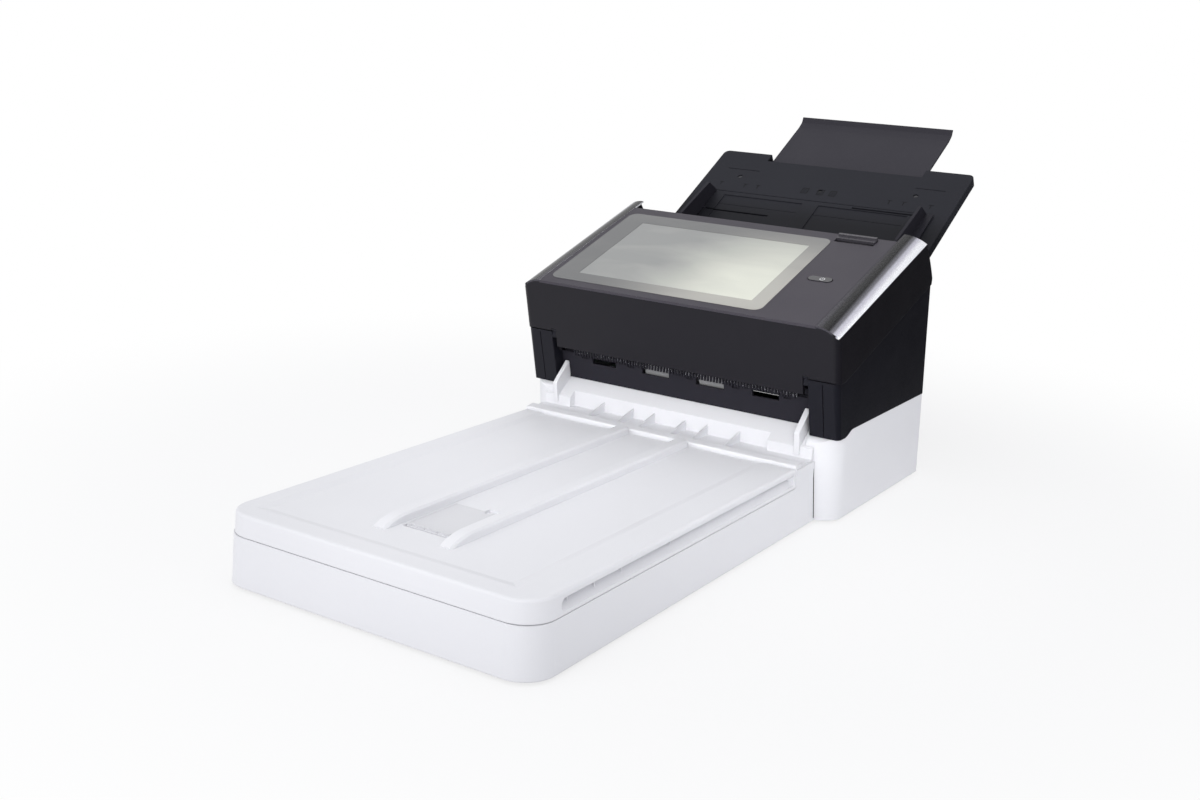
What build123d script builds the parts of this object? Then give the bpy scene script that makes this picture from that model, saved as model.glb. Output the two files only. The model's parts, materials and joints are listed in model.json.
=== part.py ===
from build123d import *
import os
from math import acos, asin, atan2, cos, degrees, pi, radians, sin, tan

# A desktop document scanner in millimetres: a black sheet-fed unit with a touch screen on a
# white base, and a white flatbed unit joined to the front of the base.
# While it is modelled, X is to the right, Y is to the rear from the front of the base, and Z is
# up from the desk. Every piece is moved along Y at the end, to put the origin in the middle.

# Driving dimensions
UNIT_WIDTH = 316.0
BASE_WIDTH = 313.2
BASE_TOP = 81.0
BASE_LEG_TOP = 76.0
BASE_FRONT_Y = -3.5
BASE_LEAN = 0.085
BASE_CORNER = 22.0
BASE_EDGE_ROUND = 8.0
NOTCH_HALF = 129.8
NOTCH_Z = 55.9
NOTCH_REAR_Y = 10.0
FOOT_HEIGHT = 2.5
REAR_TOP_Y = 187.2
REAR_BOTTOM_Y = 194.5
WALL = 3.0

FLATBED_HALF_WIDTH = 140.4
FLATBED_FRONT_Y = -415.5
FLATBED_CORNER = 24.0
FLATBED_DRAFT = 2.8
FLATBED_SEAM_Z = 40.0
LID_BOTTOM_Z = 40.5
LID_TOP_Z = 57.0
LID_REAR_Y = -42.5
END_BLOCK_Y = -42.0

PANEL_SLOPE = 18.28
PANEL_FRONT = (0, -30.0, 175.5)
PANEL_HALF_WIDTH = 138.0
PANEL_LENGTH = 170.0
PANEL_THICK = 2.5
STRIP_RADIUS = 26.7
STRIP_THICK = 1.6

LEG_INNER = 130.0
LEG_TOP_Z = 127.0
PARTING_GAP = 0.3
PARTING_BEND_Y = -4.0
FACE_LEAN = 0.2412
FRONT_CORNER = 6.0
EXIT_FACE_LOW = 78.0
EXIT_FACE_TOP = 106.4

TRAY_SLOPE = 30.2
TRAY_ORIGIN = (0, 165.0, 186.7)
TRAY_HALF_WIDTH = 140.0
TRAY_LENGTH = 178.0

PATH_SLOPE = 24.4
PATH_ORIGIN = (0, 0.0, 108.0)
EJECT_AT = 12.0
SENSOR_AT = 44.0
TRANSPORT_AT = 80.0
FEED_AT = 118.0
ROLLER_RADIUS = 10.0
SHAFT_RADIUS = 3.0
NIP_GAP = 0.3
RUNNING_GAP = 0.08

MODULE = 1.0
BACKLASH = 0.25
GEAR_X = 134.0
GEAR_WIDTH = 7.0

LEFT_GUIDE_X = -116.0
RIGHT_GUIDE_X = 116.0
PINION_PLACE = (-3.5, 88.0)
PINION_TEETH = 20

ROD_Z = 19.0
BELT_X = 40.0
BELT_Z = 20.0
BELT_FRONT_Y = -398.0
BELT_REAR_Y = -25.0
BELT_PITCH_RADIUS = 6.366

PANEL_SINE = sin(radians(PANEL_SLOPE))
PANEL_COSINE = cos(radians(PANEL_SLOPE))
PANEL = Plane(PANEL_FRONT, x_dir=(1, 0, 0), z_dir=(0, -PANEL_SINE, PANEL_COSINE))
PANEL_SECTION = Plane(PANEL_FRONT, x_dir=(-1, 0, 0), z_dir=(0, PANEL_COSINE, PANEL_SINE))
TRAY_SINE = sin(radians(TRAY_SLOPE))
TRAY_COSINE = cos(radians(TRAY_SLOPE))
TRAY = Plane(TRAY_ORIGIN, x_dir=(1, 0, 0), z_dir=(0, -TRAY_SINE, TRAY_COSINE))
TRAY_SECTION = Plane(TRAY_ORIGIN, x_dir=(0, TRAY_COSINE, TRAY_SINE), z_dir=(1, 0, 0))
PATH_SINE = sin(radians(PATH_SLOPE))
PATH_COSINE = cos(radians(PATH_SLOPE))
PATH = Plane(PATH_ORIGIN, x_dir=(1, 0, 0), z_dir=(0, -PATH_SINE, PATH_COSINE))
PARTING_RISE = tan(radians(PANEL_SLOPE))

# Hinge and shaft places, as (y, z)
CORNER_ROUND = 2.1
COVER_BOTTOM_Z = LEG_TOP_Z + PARTING_GAP
COVER_FRONT_Y = -17.3
COVER_HINGE = (-15.65, COVER_BOTTOM_Z + CORNER_ROUND)
TRAY_PIVOT = (164.0, 176.0)
TRAY_PIN_RADIUS = 3.0
COVER_PIN_RADIUS = 1.0
LID_PIN_RADIUS = 0.9
STOPPER_PIN_RADIUS = 0.75

# The lid hinge is (x, z)
LID_HINGE = (-136.2, LID_BOTTOM_Z + CORNER_ROUND)
LID_LUG_Y = (-340.0, -110.0)
STOPPER_HINGE = (-349.0, 54.6)


def block(x0, x1, y0, y1, z0, z1):
    """A box given by its low and high corners."""
    middle = Pos((x0 + x1) / 2, (y0 + y1) / 2, (z0 + z1) / 2)
    return middle * Box(x1 - x0, y1 - y0, z1 - z0)


def rod(radius, start, end):
    """A round bar between two points."""
    line = Vector(*end) - Vector(*start)
    bar = Cylinder(radius, line.length, align=(Align.CENTER, Align.CENTER, Align.MIN))
    return Plane(start, z_dir=line) * bar


def cross_rod(radius, place, x0, x1):
    """A round bar across the machine at a (y, z) place."""
    return rod(radius, (x0, place[0], place[1]), (x1, place[0], place[1]))


def side_prism(points, x0, x1):
    """A side outline of (y, z) points, run across the machine."""
    face = Plane.YZ.offset(x0) * Polygon(*points, align=None)
    return extrude(face, x1 - x0, dir=(1, 0, 0))


def both_sides(shape):
    """The shape and its mirror image on the left."""
    return Compound([*shape.solids(), *mirror(shape, Plane.YZ).solids()])


def path_place(along, above):
    """The (y, z) place of a point along and above the paper path."""
    y = PATH_ORIGIN[1] + along * PATH_COSINE - above * PATH_SINE
    z = PATH_ORIGIN[2] + along * PATH_SINE + above * PATH_COSINE
    return (y, z)


def parting_z(y):
    """The height of the leg tops and of the parting line behind them."""
    return LEG_TOP_Z + max(0.0, y - PARTING_BEND_Y) * PARTING_RISE


def face_y(z):
    """The front face of the legs and the cover, which leans forward as it rises."""
    return COVER_FRONT_Y - (z - COVER_BOTTOM_Z) * FACE_LEAN


def base_front_y(z):
    """The front face of the base, which leans forward as it rises."""
    return BASE_FRONT_Y - z * BASE_LEAN


def exit_face_y(z):
    """The face under the exit slot, which leans forward as it rises."""
    return 1.0 + (EXIT_FACE_TOP - z) * FACE_LEAN


def leaning_form(half, front_y, corner, lean, low, high):
    """A block with round front corners whose front leans forward as it rises."""
    rear_end = 300.0
    plan = Pos(0, (front_y + rear_end) / 2, low) * Rectangle(2 * half, rear_end - front_y)
    front = plan.vertices().sort_by(Axis.Y)[:2]
    way = Vector(0, -lean, 1)
    return extrude(fillet(front, corner), amount=(high - low) * way.length, dir=way)


def panel_z(y):
    """The height of the top panel's plane."""
    return PANEL_FRONT[2] + (y - PANEL_FRONT[1]) * PARTING_RISE


def rear_y(z):
    """The rear face of the base and the body, which leans in as it rises."""
    return REAR_BOTTOM_Y + (REAR_TOP_Y - REAR_BOTTOM_Y) * z / BASE_TOP


EJECT_SHAFT = path_place(EJECT_AT, -ROLLER_RADIUS)
TRANSPORT_SHAFT = path_place(TRANSPORT_AT, -ROLLER_RADIUS)
FEED_SHAFT = path_place(FEED_AT, -ROLLER_RADIUS)
LARGE_IDLER_AT = (EJECT_AT + TRANSPORT_AT) / 2
SMALL_IDLER_AT = (TRANSPORT_AT + FEED_AT) / 2
LARGE_IDLER = path_place(LARGE_IDLER_AT, -ROLLER_RADIUS)
SMALL_IDLER = path_place(SMALL_IDLER_AT, -ROLLER_RADIUS)
ROLLER_TEETH = 24
LARGE_IDLER_TEETH = 44
SMALL_IDLER_TEETH = 14
MOTOR_TEETH = 12
MOTOR_DROP = (LARGE_IDLER_TEETH + MOTOR_TEETH) * MODULE / 2 * sin(radians(45))
MOTOR_SHAFT = path_place(LARGE_IDLER_AT + MOTOR_DROP, -ROLLER_RADIUS - MOTOR_DROP)
FEED_IDLER_RADIUS = 9.0
IDLER_RADIUS = 6.0
SEPARATION_SHAFT = path_place(FEED_AT, FEED_IDLER_RADIUS + NIP_GAP)
TRANSPORT_IDLER = path_place(TRANSPORT_AT, IDLER_RADIUS + NIP_GAP)
EJECT_IDLER = path_place(EJECT_AT, IDLER_RADIUS + NIP_GAP)


def drafted(half_width, front_y, corner, z0, z1):
    """A block with rounded front corners that narrows as it rises; it runs on past Y = 0."""
    length = 40.0 - front_y
    plan = Pos(0, front_y + length / 2, z0) * Rectangle(2 * half_width, length)
    front = plan.vertices().sort_by(Axis.Y)[:2]
    return extrude(fillet(front, corner), z1 - z0, taper=FLATBED_DRAFT)


def flatbed_half_width(z):
    return FLATBED_HALF_WIDTH - z * tan(radians(FLATBED_DRAFT))


def flatbed_front(z):
    return FLATBED_FRONT_Y + z * tan(radians(FLATBED_DRAFT))


def hinge_lug(plane_point, along, radius, width):
    """A rounded hinge ear about a point, of the given width along Y."""
    start = (plane_point[0], along - width / 2, plane_point[1])
    end = (plane_point[0], along + width / 2, plane_point[1])
    return rod(radius, start, end)


def flatbed_housing():
    """The open tub under the glass, with the closed block that joins it to the base."""
    low, seam = FOOT_HEIGHT, FLATBED_SEAM_Z
    outer = drafted(flatbed_half_width(low), flatbed_front(low), FLATBED_CORNER, low, seam)
    inner = drafted(flatbed_half_width(low) - 2.6, flatbed_front(low) + 2.6, 21.4, low + 2.5, seam + 2)
    inner -= block(-200, 200, END_BLOCK_Y - 3, 60, 0, 60)
    body = outer - inner
    half = flatbed_half_width(seam)
    upper = block(-half, half, END_BLOCK_Y, 0, seam - 1, 56.0)
    body += upper
    body -= block(-half + WALL, half - WALL, END_BLOCK_Y + WALL, -11.5, low + 2.5, 53.0)
    body -= side_prism([(base_front_y(0), 0), (base_front_y(60), 60), (60, 60), (60, 0)], -200, 200)
    body -= block(BELT_X - 6, BELT_X + 6, END_BLOCK_Y - 4, END_BLOCK_Y + 4, 11, 29)
    rod_x = -60.0
    for y in (-408.0, -49.0):
        body += block(rod_x - 7, rod_x + 7, y - 3.5, y + 3.5, low + 2, 25)
    body -= rod(4.0, (rod_x, -409.0, ROD_Z), (rod_x, -46.5, ROD_Z))
    body += block(98, 103, -404, -52, low + 2, 9.7)
    for y in LID_LUG_Y:
        neck = block(LID_HINGE[0] - 2.0, LID_HINGE[0] + 2.0, y - 5, y + 5, 34.0, LID_HINGE[1])
        body += neck + hinge_lug(LID_HINGE, y, 2.0, 10.0)
        body -= hinge_lug(LID_HINGE, y, LID_PIN_RADIUS + 0.05, 12.0)
    return body


GLASS = (-114.0, 114.0, -382.0, -58.0)
PLATEN_TOP = 38.0


def platen_frame():
    """The flat rim that carries the glass just below the top of the tub."""
    plate = block(-134.0, 134.0, -410.0, -45.2, PLATEN_TOP - 2.5, PLATEN_TOP)
    front = plate.edges().filter_by(Axis.Z).sort_by(Axis.Y)[:2]
    plate = fillet(front, 18.0)
    plate -= block(GLASS[0], GLASS[1], GLASS[2], GLASS[3], 30, 40)
    return plate


def platen_glass():
    return block(GLASS[0], GLASS[1], GLASS[2], GLASS[3], PLATEN_TOP - 2.8, PLATEN_TOP)


def calibration_strip():
    """The white strip under the front edge of the glass that the sensor is set by."""
    return block(-108, 108, GLASS[2] + 1, GLASS[2] + 9, PLATEN_TOP - 3.3, PLATEN_TOP - 2.8)


def carriage_guide_rod():
    return rod(4.0, (-60, -408.9, ROD_Z), (-60, -46.6, ROD_Z))


CARRIAGE = (-118.0, 118.0, -380.0, -346.0, 10.0, 31.0)


def scan_carriage():
    """The carriage under the glass: a trough for the light bar, a rod bore and a belt slot."""
    x0, x1, y0, y1, z0, z1 = CARRIAGE
    body = block(x0, x1, y0, y1, z0, z1)
    ends = body.edges().filter_by(Axis.Z)
    body = fillet(ends, 4.0)
    body -= block(x0 + 8, x1 - 8, y0 + 6, y1 - 6, z1 - 7, z1 + 1)
    body -= rod(4.0 + RUNNING_GAP, (-60, y0 - 1, ROD_Z), (-60, y1 + 1, ROD_Z))
    body -= block(BELT_X - 6, BELT_X + 6, y0 - 1, y1 + 1, z0 - 1, 30.0)
    for x in (-100, -86, 70, 84, 98):
        body -= block(x, x + 9, y0 + 4, y1 - 4, z0 - 1, 16)
    return body


def carriage_light_bar():
    """The glass light guide and lens array set in the carriage's trough."""
    x0, x1, y0, y1, z0, z1 = CARRIAGE
    bar = block(x0 + 9, BELT_X - 8, y0 + 7, y1 - 7, z1 - 7, z1 - 0.5)
    bar += block(BELT_X + 8, x1 - 9, y0 + 7, y1 - 7, z1 - 7, z1 - 0.5)
    bar += block(x0 + 9, x1 - 9, y0 + 7, y1 - 7, z1 - 0.9, z1 + 2.0)
    return bar


def pulley(y):
    """A flanged belt pulley on a cross pin."""
    place = (y, BELT_Z)
    wheel = cross_rod(5.7, place, BELT_X - 3.6, BELT_X + 3.6)
    for x in (BELT_X - 4.9, BELT_X + 3.6):
        wheel += cross_rod(7.9, place, x, x + 1.3)
    return wheel - cross_rod(1.5 + RUNNING_GAP, place, BELT_X - 6, BELT_X + 6)


def carriage_belt():
    """The toothed belt's loop round both pulleys."""
    middle = (BELT_FRONT_Y + BELT_REAR_Y) / 2
    run = BELT_REAR_Y - BELT_FRONT_Y
    plane = Plane((BELT_X - 3, middle, BELT_Z), x_dir=(0, 1, 0), z_dir=(1, 0, 0))
    outer = SlotCenterToCenter(run, 14.4)
    inner = SlotCenterToCenter(run, 12.0)
    return extrude(plane * (outer - inner), 6.0, dir=(1, 0, 0))


def carriage_motor():
    """The stepping motor behind the belt's rear pulley, on its bracket."""
    place = (BELT_REAR_Y, BELT_Z)
    body = cross_rod(12.0, place, BELT_X + 8, BELT_X + 36)
    body += block(BELT_X + 6.5, BELT_X + 8.5, BELT_REAR_Y - 12, BELT_REAR_Y + 12, 5.0, 32.5)
    body += block(BELT_X + 8, BELT_X + 20, BELT_REAR_Y - 12, BELT_REAR_Y + 12, 5.0, 7.0)
    body += cross_rod(1.5, place, BELT_X - 5.5, BELT_X + 7)
    return body


def idler_bracket():
    """The bent bracket and pin of the belt's front pulley."""
    place = (BELT_FRONT_Y, BELT_Z)
    body = block(BELT_X + 6.5, BELT_X + 8.5, BELT_FRONT_Y - 8, BELT_FRONT_Y + 10, 5.0, 28)
    body += block(BELT_X + 8, BELT_X + 18, BELT_FRONT_Y - 8, BELT_FRONT_Y + 10, 5.0, 7.0)
    body += cross_rod(1.5, place, BELT_X - 5.5, BELT_X + 7)
    return body


FIELD_DEPTH = 1.5
RAIL_INNER = 24.0
RAIL_OUTER = 36.0
RAIL_HEIGHT = 5.0
RAIL_FRONT_Y = -368.0
STOPPER_BOX = (-21.0, 21.0, -351.0, -291.0)
POCKET_Z = 53.1
PAD_TOP = 50.4


def lid_rail():
    """One of the two raised paper rails, with a curved ramp at its front."""
    top = LID_TOP_Z + RAIL_HEIGHT
    bottom = LID_TOP_Z - 2.0
    foot = (RAIL_FRONT_Y, bottom)
    ramp_start = (RAIL_FRONT_Y, LID_TOP_Z - 0.6)
    ramp_end = (RAIL_FRONT_Y + 27, top)
    edges = [
        Line(foot, ramp_start),
        ThreePointArc(ramp_start, (RAIL_FRONT_Y + 11, top - 1.7), ramp_end),
        Line(ramp_end, (LID_REAR_Y - 3, top)),
        Line((LID_REAR_Y - 3, top), (LID_REAR_Y - 3, bottom)),
        Line((LID_REAR_Y - 3, bottom), foot),
    ]
    rail = extrude(Plane.YZ.offset(RAIL_INNER) * make_face(edges), RAIL_OUTER - RAIL_INNER)
    return chamfer(rail.edges().filter_by(Axis.Y).sort_by(Axis.Z)[-2:], 1.6)


def lid_grip():
    """The long finger scoop in the lid's right side; its floor slopes down to the outside."""
    y0, y1, z0, z1 = -383.0, -46.0, 42.5, 52.0
    middle, radius = (z0 + z1) / 2, (z1 - z0) / 2
    inner, outer = 130.5, 150.0
    form = block(inner, outer, y0 + radius, y1, z0, z1)
    form += cross_rod(radius, (y0 + radius, middle), inner, outer)
    section = Polygon((inner, z1), (inner, z1 - 4), (inner + 9.5, z0), (outer, z0), (outer, z1), align=None)
    scoop = extrude(Plane.XZ.offset(-y1) * section, y1 - y0)
    return form & scoop


def lid_shell():
    """The flatbed's lid: a shallow moulded shell with paper rails on it and a finger recess."""
    low, top = LID_BOTTOM_Z, LID_TOP_Z
    lid = drafted(flatbed_half_width(low), flatbed_front(low), FLATBED_CORNER, low, top)
    lid -= block(-200, 200, LID_REAR_Y, 60, 0, 80)
    lid = fillet(lid.faces().sort_by(Axis.Z)[-1].edges(), 2.4)
    cavity = block(-135.6, 128.0, -409.5, LID_REAR_Y - 2.6, low - 1, top - 3.5)
    front = cavity.edges().filter_by(Axis.Z).sort_by(Axis.Y)[:2]
    lid -= fillet(front, 20.0)
    field = Pos(-6, (-395 + LID_REAR_Y + 8) / 2, top) * Rectangle(232, 395 + LID_REAR_Y + 8)
    lid -= extrude(field, -FIELD_DEPTH, taper=78)
    for x in (-104.0, 104.0):
        lid += block(x - 1, x + 1, -405, LID_REAR_Y - 1, PAD_TOP, top - 3)
    lid += lid_rail() + mirror(lid_rail(), Plane.YZ)
    x0, x1, y0, y1 = STOPPER_BOX
    lid += block(x0 - 4, x1 + 4, y0 - 4, y1 + 8, top - 6.5, top - 3)
    lid -= block(x0 - 0.5, x1 + 0.5, y0 - 1.2, y1 + 0.6, POCKET_Z, top + 2)
    lid -= block(x1 - 16, x1 - 6, y1, y1 + 6.5, POCKET_Z, top + 2)
    lid += stopper_pin_ears()
    lid -= lid_grip()
    for y in (-371.0, -339.0, -306.0, -240.0):
        lid += block(130, 134.0, y - 0.6, y + 0.6, 44.0, 52.5)
    corner = block(-150, LID_HINGE[0], -450, 0, 30, LID_HINGE[1])
    lid -= corner - hinge_lug(LID_HINGE, -225, CORNER_ROUND, 450)
    for y in LID_LUG_Y:
        lid += block(LID_HINGE[0], LID_HINGE[0] + 4, y - 16, y + 16, low, top - 3)
        lid += hinge_lug(LID_HINGE, y, CORNER_ROUND, 32.0)
        lid -= block(-150, LID_HINGE[0] + 2.7, y - 5.3, y + 5.3, 30, LID_HINGE[1] + 2.7)
        lid -= hinge_lug(LID_HINGE, y, LID_PIN_RADIUS, 25.0)
    return lid


def stopper_pin_ears():
    """Two small ears in the lid's pocket that hold the stopper's hinge pins."""
    y, z = STOPPER_HINGE
    ear = block(19.6, 21.6, y - 1.4, y + 1.4, POCKET_Z - 0.2, z + 1.4)
    return both_sides(ear) - cross_rod(STOPPER_PIN_RADIUS + 0.05, STOPPER_HINGE, -22, 22)


def lid_pad():
    """The sponge and white sheet that press the page on the glass."""
    return block(-111, 111, -376, -62, PLATEN_TOP + 0.4, PAD_TOP)


def lid_hinge_pins():
    pins = [hinge_lug(LID_HINGE, y, LID_PIN_RADIUS, 24.0) for y in LID_LUG_Y]
    return Compound([solid for pin in pins for solid in pin.solids()])


def paper_stopper():
    """The flap that folds up from between the rails to stop long pages."""
    x0, x1, y0, y1 = STOPPER_BOX
    y, z = STOPPER_HINGE
    flap = block(x0 + 0.2, x1 - 0.2, y + 2.4, y1, z - 1.1, z + 1.1)
    flap += block(-19.0, 19.0, y - 0.6, y + 3.0, z - 1.1, z + 2.4)
    flap -= block(x1 - 14, x1 - 8, y1 - 3.5, y1 + 1, 50, 60)
    for x in (-12.0, 0.0, 12.0):
        flap -= block(x - 3.5, x + 3.5, y - 2, y + 0.2, 50, 60)
    flap += cross_rod(1.1, STOPPER_HINGE, -19.0, 19.0)
    return flap + cross_rod(STOPPER_PIN_RADIUS, STOPPER_HINGE, -21.3, 21.3)


def rounded_base(inset, low, high):
    """The base's form with round front corners, as tall as wanted."""
    half = BASE_WIDTH / 2 - inset
    return leaning_form(half, base_front_y(low) + inset, BASE_CORNER - inset, BASE_LEAN, low, high)


def base_profile(inset, bottom):
    """The base's side outline: a round front edge, an S-shaped step and a leaning rear."""
    rise = BASE_TOP - BASE_LEG_TOP
    shoulder = BASE_LEG_TOP - inset
    front = base_front_y(BASE_LEG_TOP)
    centre = (front + BASE_EDGE_ROUND, BASE_LEG_TOP - BASE_EDGE_ROUND)
    turn = (BASE_EDGE_ROUND - inset) * cos(radians(45))
    on_arc = (centre[0] - turn, centre[1] + turn)
    rear_high = (rear_y(BASE_TOP - inset) - inset, BASE_TOP - inset)
    rear_low = (rear_y(bottom) - inset, bottom)
    ahead = front - 10
    edges = [
        Line((ahead, bottom), (ahead, centre[1])),
        Line((ahead, centre[1]), (front + inset, centre[1])),
        ThreePointArc((front + inset, centre[1]), on_arc, (centre[0], shoulder)),
        Line((centre[0], shoulder), (8, shoulder)),
        Spline((8, shoulder), (17, shoulder + rise / 2), (26, shoulder + rise), tangents=[(1, 0), (1, 0)]),
        Line((26, shoulder + rise), rear_high),
        Line(rear_high, rear_low),
        Line(rear_low, (ahead, bottom)),
    ]
    return make_face(edges)


PORT_WINDOW = (-72.0, 58.0, 22.0, 52.0)
SCREW_PLACES = ((-138, 60), (138, 60), (-138, 150), (138, 150))


def base_housing():
    """The white base shell, open below, with the top that the black body stands on."""
    width = BASE_WIDTH / 2
    outer = rounded_base(0, FOOT_HEIGHT, 90)
    outer &= extrude(Plane.YZ.offset(-width - 1) * base_profile(0, FOOT_HEIGHT), 2 * width + 2)
    inner = rounded_base(WALL, FOOT_HEIGHT - 1, 90)
    inner &= extrude(Plane.YZ.offset(-width - 1) * base_profile(WALL, FOOT_HEIGHT - 1), 2 * width + 2)
    body = outer - inner
    x0, x1, z0, z1 = PORT_WINDOW
    body -= block(x0, x1, 180, 200, z0, z1)
    body -= block(-118, 118, 30, 165, 70, 90)
    body -= block(-NOTCH_HALF, NOTCH_HALF, -40, NOTCH_REAR_Y, NOTCH_Z, 90)
    for x, y in SCREW_PLACES:
        body += rod(5.0, (x, y, 4.5), (x, y, 79)) - rod(1.5, (x, y, 4), (x, y, 14))
    return body


def base_bottom_plate():
    """The pressed floor of the base, with raised edges."""
    plate = rounded_base(WALL + 0.4, FOOT_HEIGHT, 4.5) - block(-200, 200, 190.0, 400, 0, 20)
    for x, y in SCREW_PLACES:
        plate -= rod(1.5, (x, y, 0), (x, y, 6))
    return plate


SHELF_FRONT = (-11.8, 66.7)
SHELF_REAR = (6.9, 81.3)
SHELF_BACK_STEP = 6.8
TROUGH_Z = 57.5
EXIT_RECESS = (-109.5, 94.8)
EXIT_RIBS = (-76.1, -44.9, -22.4, 10.1, 32.5, 64.6)


def shelf_section(front_y, low):
    """The side outline of the sloping shelf with its front wall at a given place."""
    slope = (SHELF_REAR[1] - SHELF_FRONT[1]) / (SHELF_REAR[0] - SHELF_FRONT[0])
    top = SHELF_FRONT[1] + (front_y - SHELF_FRONT[0]) * slope
    thick = 3.0
    drop = 3.8
    under = (front_y + thick, top + thick * slope - drop)
    rear_low = (SHELF_REAR[0], SHELF_REAR[1] - drop)
    return [(front_y, low), (front_y, top), SHELF_REAR, rear_low, under, (front_y + thick, low)]


def exit_tray():
    """The moulding in front of the exit slot: a bar, a ribbed trough and a sloping shelf."""
    half = flatbed_half_width(57.0)
    low = NOTCH_Z + 0.1
    front, front_top = SHELF_FRONT
    step_y = front + SHELF_BACK_STEP
    x0, x1 = EXIT_RECESS
    edge = NOTCH_HALF - 0.2
    bar = [(-42, low), (-42, 58), (-41, 59.2), (-32, 60.3), (-32, TROUGH_Z)]
    bar += [(front + 3, TROUGH_Z), (front + 3, low)]
    tray = side_prism(bar, -half, half)
    tray += side_prism(shelf_section(step_y, low), x0 - 1, x1 + 1)
    for a, b in ((-edge, x0), (x1, edge)):
        tray += side_prism(shelf_section(front, low), a, b)
    floor = [(front, low), (front, TROUGH_Z), (step_y + 1, TROUGH_Z), (step_y + 1, low)]
    tray += side_prism(floor, x0 - 1, x1 + 1)
    end_wall = [(front, low), (front, front_top), (step_y + 1, front_top + 6), (step_y + 1, low)]
    for a, b in ((x0 - 2, x0), (x1, x1 + 2)):
        tray += side_prism(end_wall, a, b)
    cheek = [(front, low), (front, front_top), (-9.4, 68.4), (-8.35, low)]
    tray += both_sides(side_prism(cheek, edge - 0.2, half - 0.4))
    fin = [(-13.5, 60), (-16, 79), (-15, 80.5), (2.8, 97), (6.1, 84.5), (6.1, 78), (-8, 62)]
    tray += side_prism(fin, 121, 126) + side_prism(fin, -126.5, -122.5)
    rib = [(-32.5, low + 0.5), (-32.5, 60.2), (step_y + 0.5, 66.7), (step_y + 0.5, low + 0.5)]
    for x in EXIT_RIBS:
        tray += side_prism(rib, x - 0.7, x + 0.7)
    return tray


def leg_profile():
    """The side outline of the black lower body."""
    bottom = BASE_LEG_TOP + 0.2
    high = BASE_TOP + 0.2
    edges = [
        Line((face_y(LEG_TOP_Z), LEG_TOP_Z), (face_y(bottom) + 1, bottom)),
        Line((face_y(bottom) + 1, bottom), (8, bottom)),
        Spline((8, bottom), (17, bottom + 2.5), (26, bottom + 5), tangents=[(1, 0), (1, 0)]),
        Line((26, bottom + 5), (REAR_TOP_Y, high)),
        Line((REAR_TOP_Y, high), (181, 143)),
        Line((181, 143), (177, parting_z(177))),
        Line((177, parting_z(177)), (PARTING_BEND_Y, LEG_TOP_Z)),
        Line((PARTING_BEND_Y, LEG_TOP_Z), (face_y(LEG_TOP_Z), LEG_TOP_Z)),
    ]
    return make_face(edges)


def lower_body():
    """The black lower body: two front legs, side walls over the gears and a rear wall."""
    half = UNIT_WIDTH / 2 - 1
    body = extrude(Plane.YZ.offset(-half) * leg_profile(), 2 * half)
    body &= leaning_form(half, face_y(70) - 0.02, FRONT_CORNER, FACE_LEAN, 70, 220)
    body -= block(-LEG_INNER, LEG_INNER, -40, 174, 60, 260)
    side = side_prism([(0, 60), (0, parting_z(0) - 2), (174, parting_z(174) - 2), (174, 60)], 133, 153)
    body -= both_sides(side)
    body -= both_sides(block(LEG_INNER - 1, 133.5, 9.5, 174, 60, 260))
    body -= cross_rod(LARGE_IDLER_TEETH * MODULE / 2 + 1.6, LARGE_IDLER, 133, 144)
    body -= block(-141.3, 141.3, 146, 174.5, 150, 260)
    body -= block(-141.3, 141.3, 170, 200, 177.5, 260)
    boss = [(156, 166), (156, parting_z(156) - 1), (172, parting_z(172) - 1), (172, 166)]
    body += both_sides(side_prism(boss, 141.3, 154))
    body -= both_sides(cross_rod(TRAY_PIN_RADIUS + RUNNING_GAP, TRAY_PIVOT, 140, 148.5))
    y, z = COVER_HINGE
    lug = cross_rod(2.0, COVER_HINGE, 125.6, 129.7) + block(125.6, 129.7, y - 0.3, y + 2.0, 121.5, z)
    lug += block(125.6, 131.0, y - 0.3, y + 2.0, 121.5, LEG_TOP_Z - 0.2)
    body += both_sides(lug)
    body -= both_sides(cross_rod(COVER_PIN_RADIUS + 0.05, COVER_HINGE, 124, 129.8))
    groove = [(face_y(125) + 1.0, 125), (face_y(125) - 3, 125), (face_y(78) - 3, 78), (face_y(78) + 2.0, 78)]
    body -= both_sides(side_prism(groove, 142.8, 143.6))
    return body


def side_frames():
    """Two plates that carry the shafts, with the pins of both idler gears on the right one."""
    outline = [(10.2, BASE_TOP), (4.6, 105), (4.6, 106.5), (10, 111.0), (150, 173.5), (150, BASE_TOP)]
    plate = side_prism(outline, 127.0, 129.5)
    for shaft in (EJECT_SHAFT, TRANSPORT_SHAFT, FEED_SHAFT):
        plate -= cross_rod(SHAFT_RADIUS + RUNNING_GAP, shaft, 120, 140)
    frames = both_sides(plate)
    frames -= cross_rod(3.4, MOTOR_SHAFT, 120, 140)
    for shaft in (LARGE_IDLER, SMALL_IDLER):
        frames += cross_rod(SHAFT_RADIUS, shaft, 129.0, GEAR_X + GEAR_WIDTH + 1)
    return frames


TYRE_PLACES = {"eject": (-28.0, 28.0), "transport": (-83.0, -28.0, 28.0, 83.0), "feed": (-22.0, 22.0)}
TYRE_WIDTH = {"eject": 26.0, "transport": 18.0, "feed": 34.0}


def windows(kind, along, low, high, margin):
    """The row of openings that one row of tyres shows through."""
    cuts = []
    half = TYRE_WIDTH[kind] / 2 + 1.2
    for x in TYRE_PLACES[kind]:
        cuts.append(PATH * block(x - half, x + half, along - margin, along + margin, low, high))
    return cuts


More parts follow.
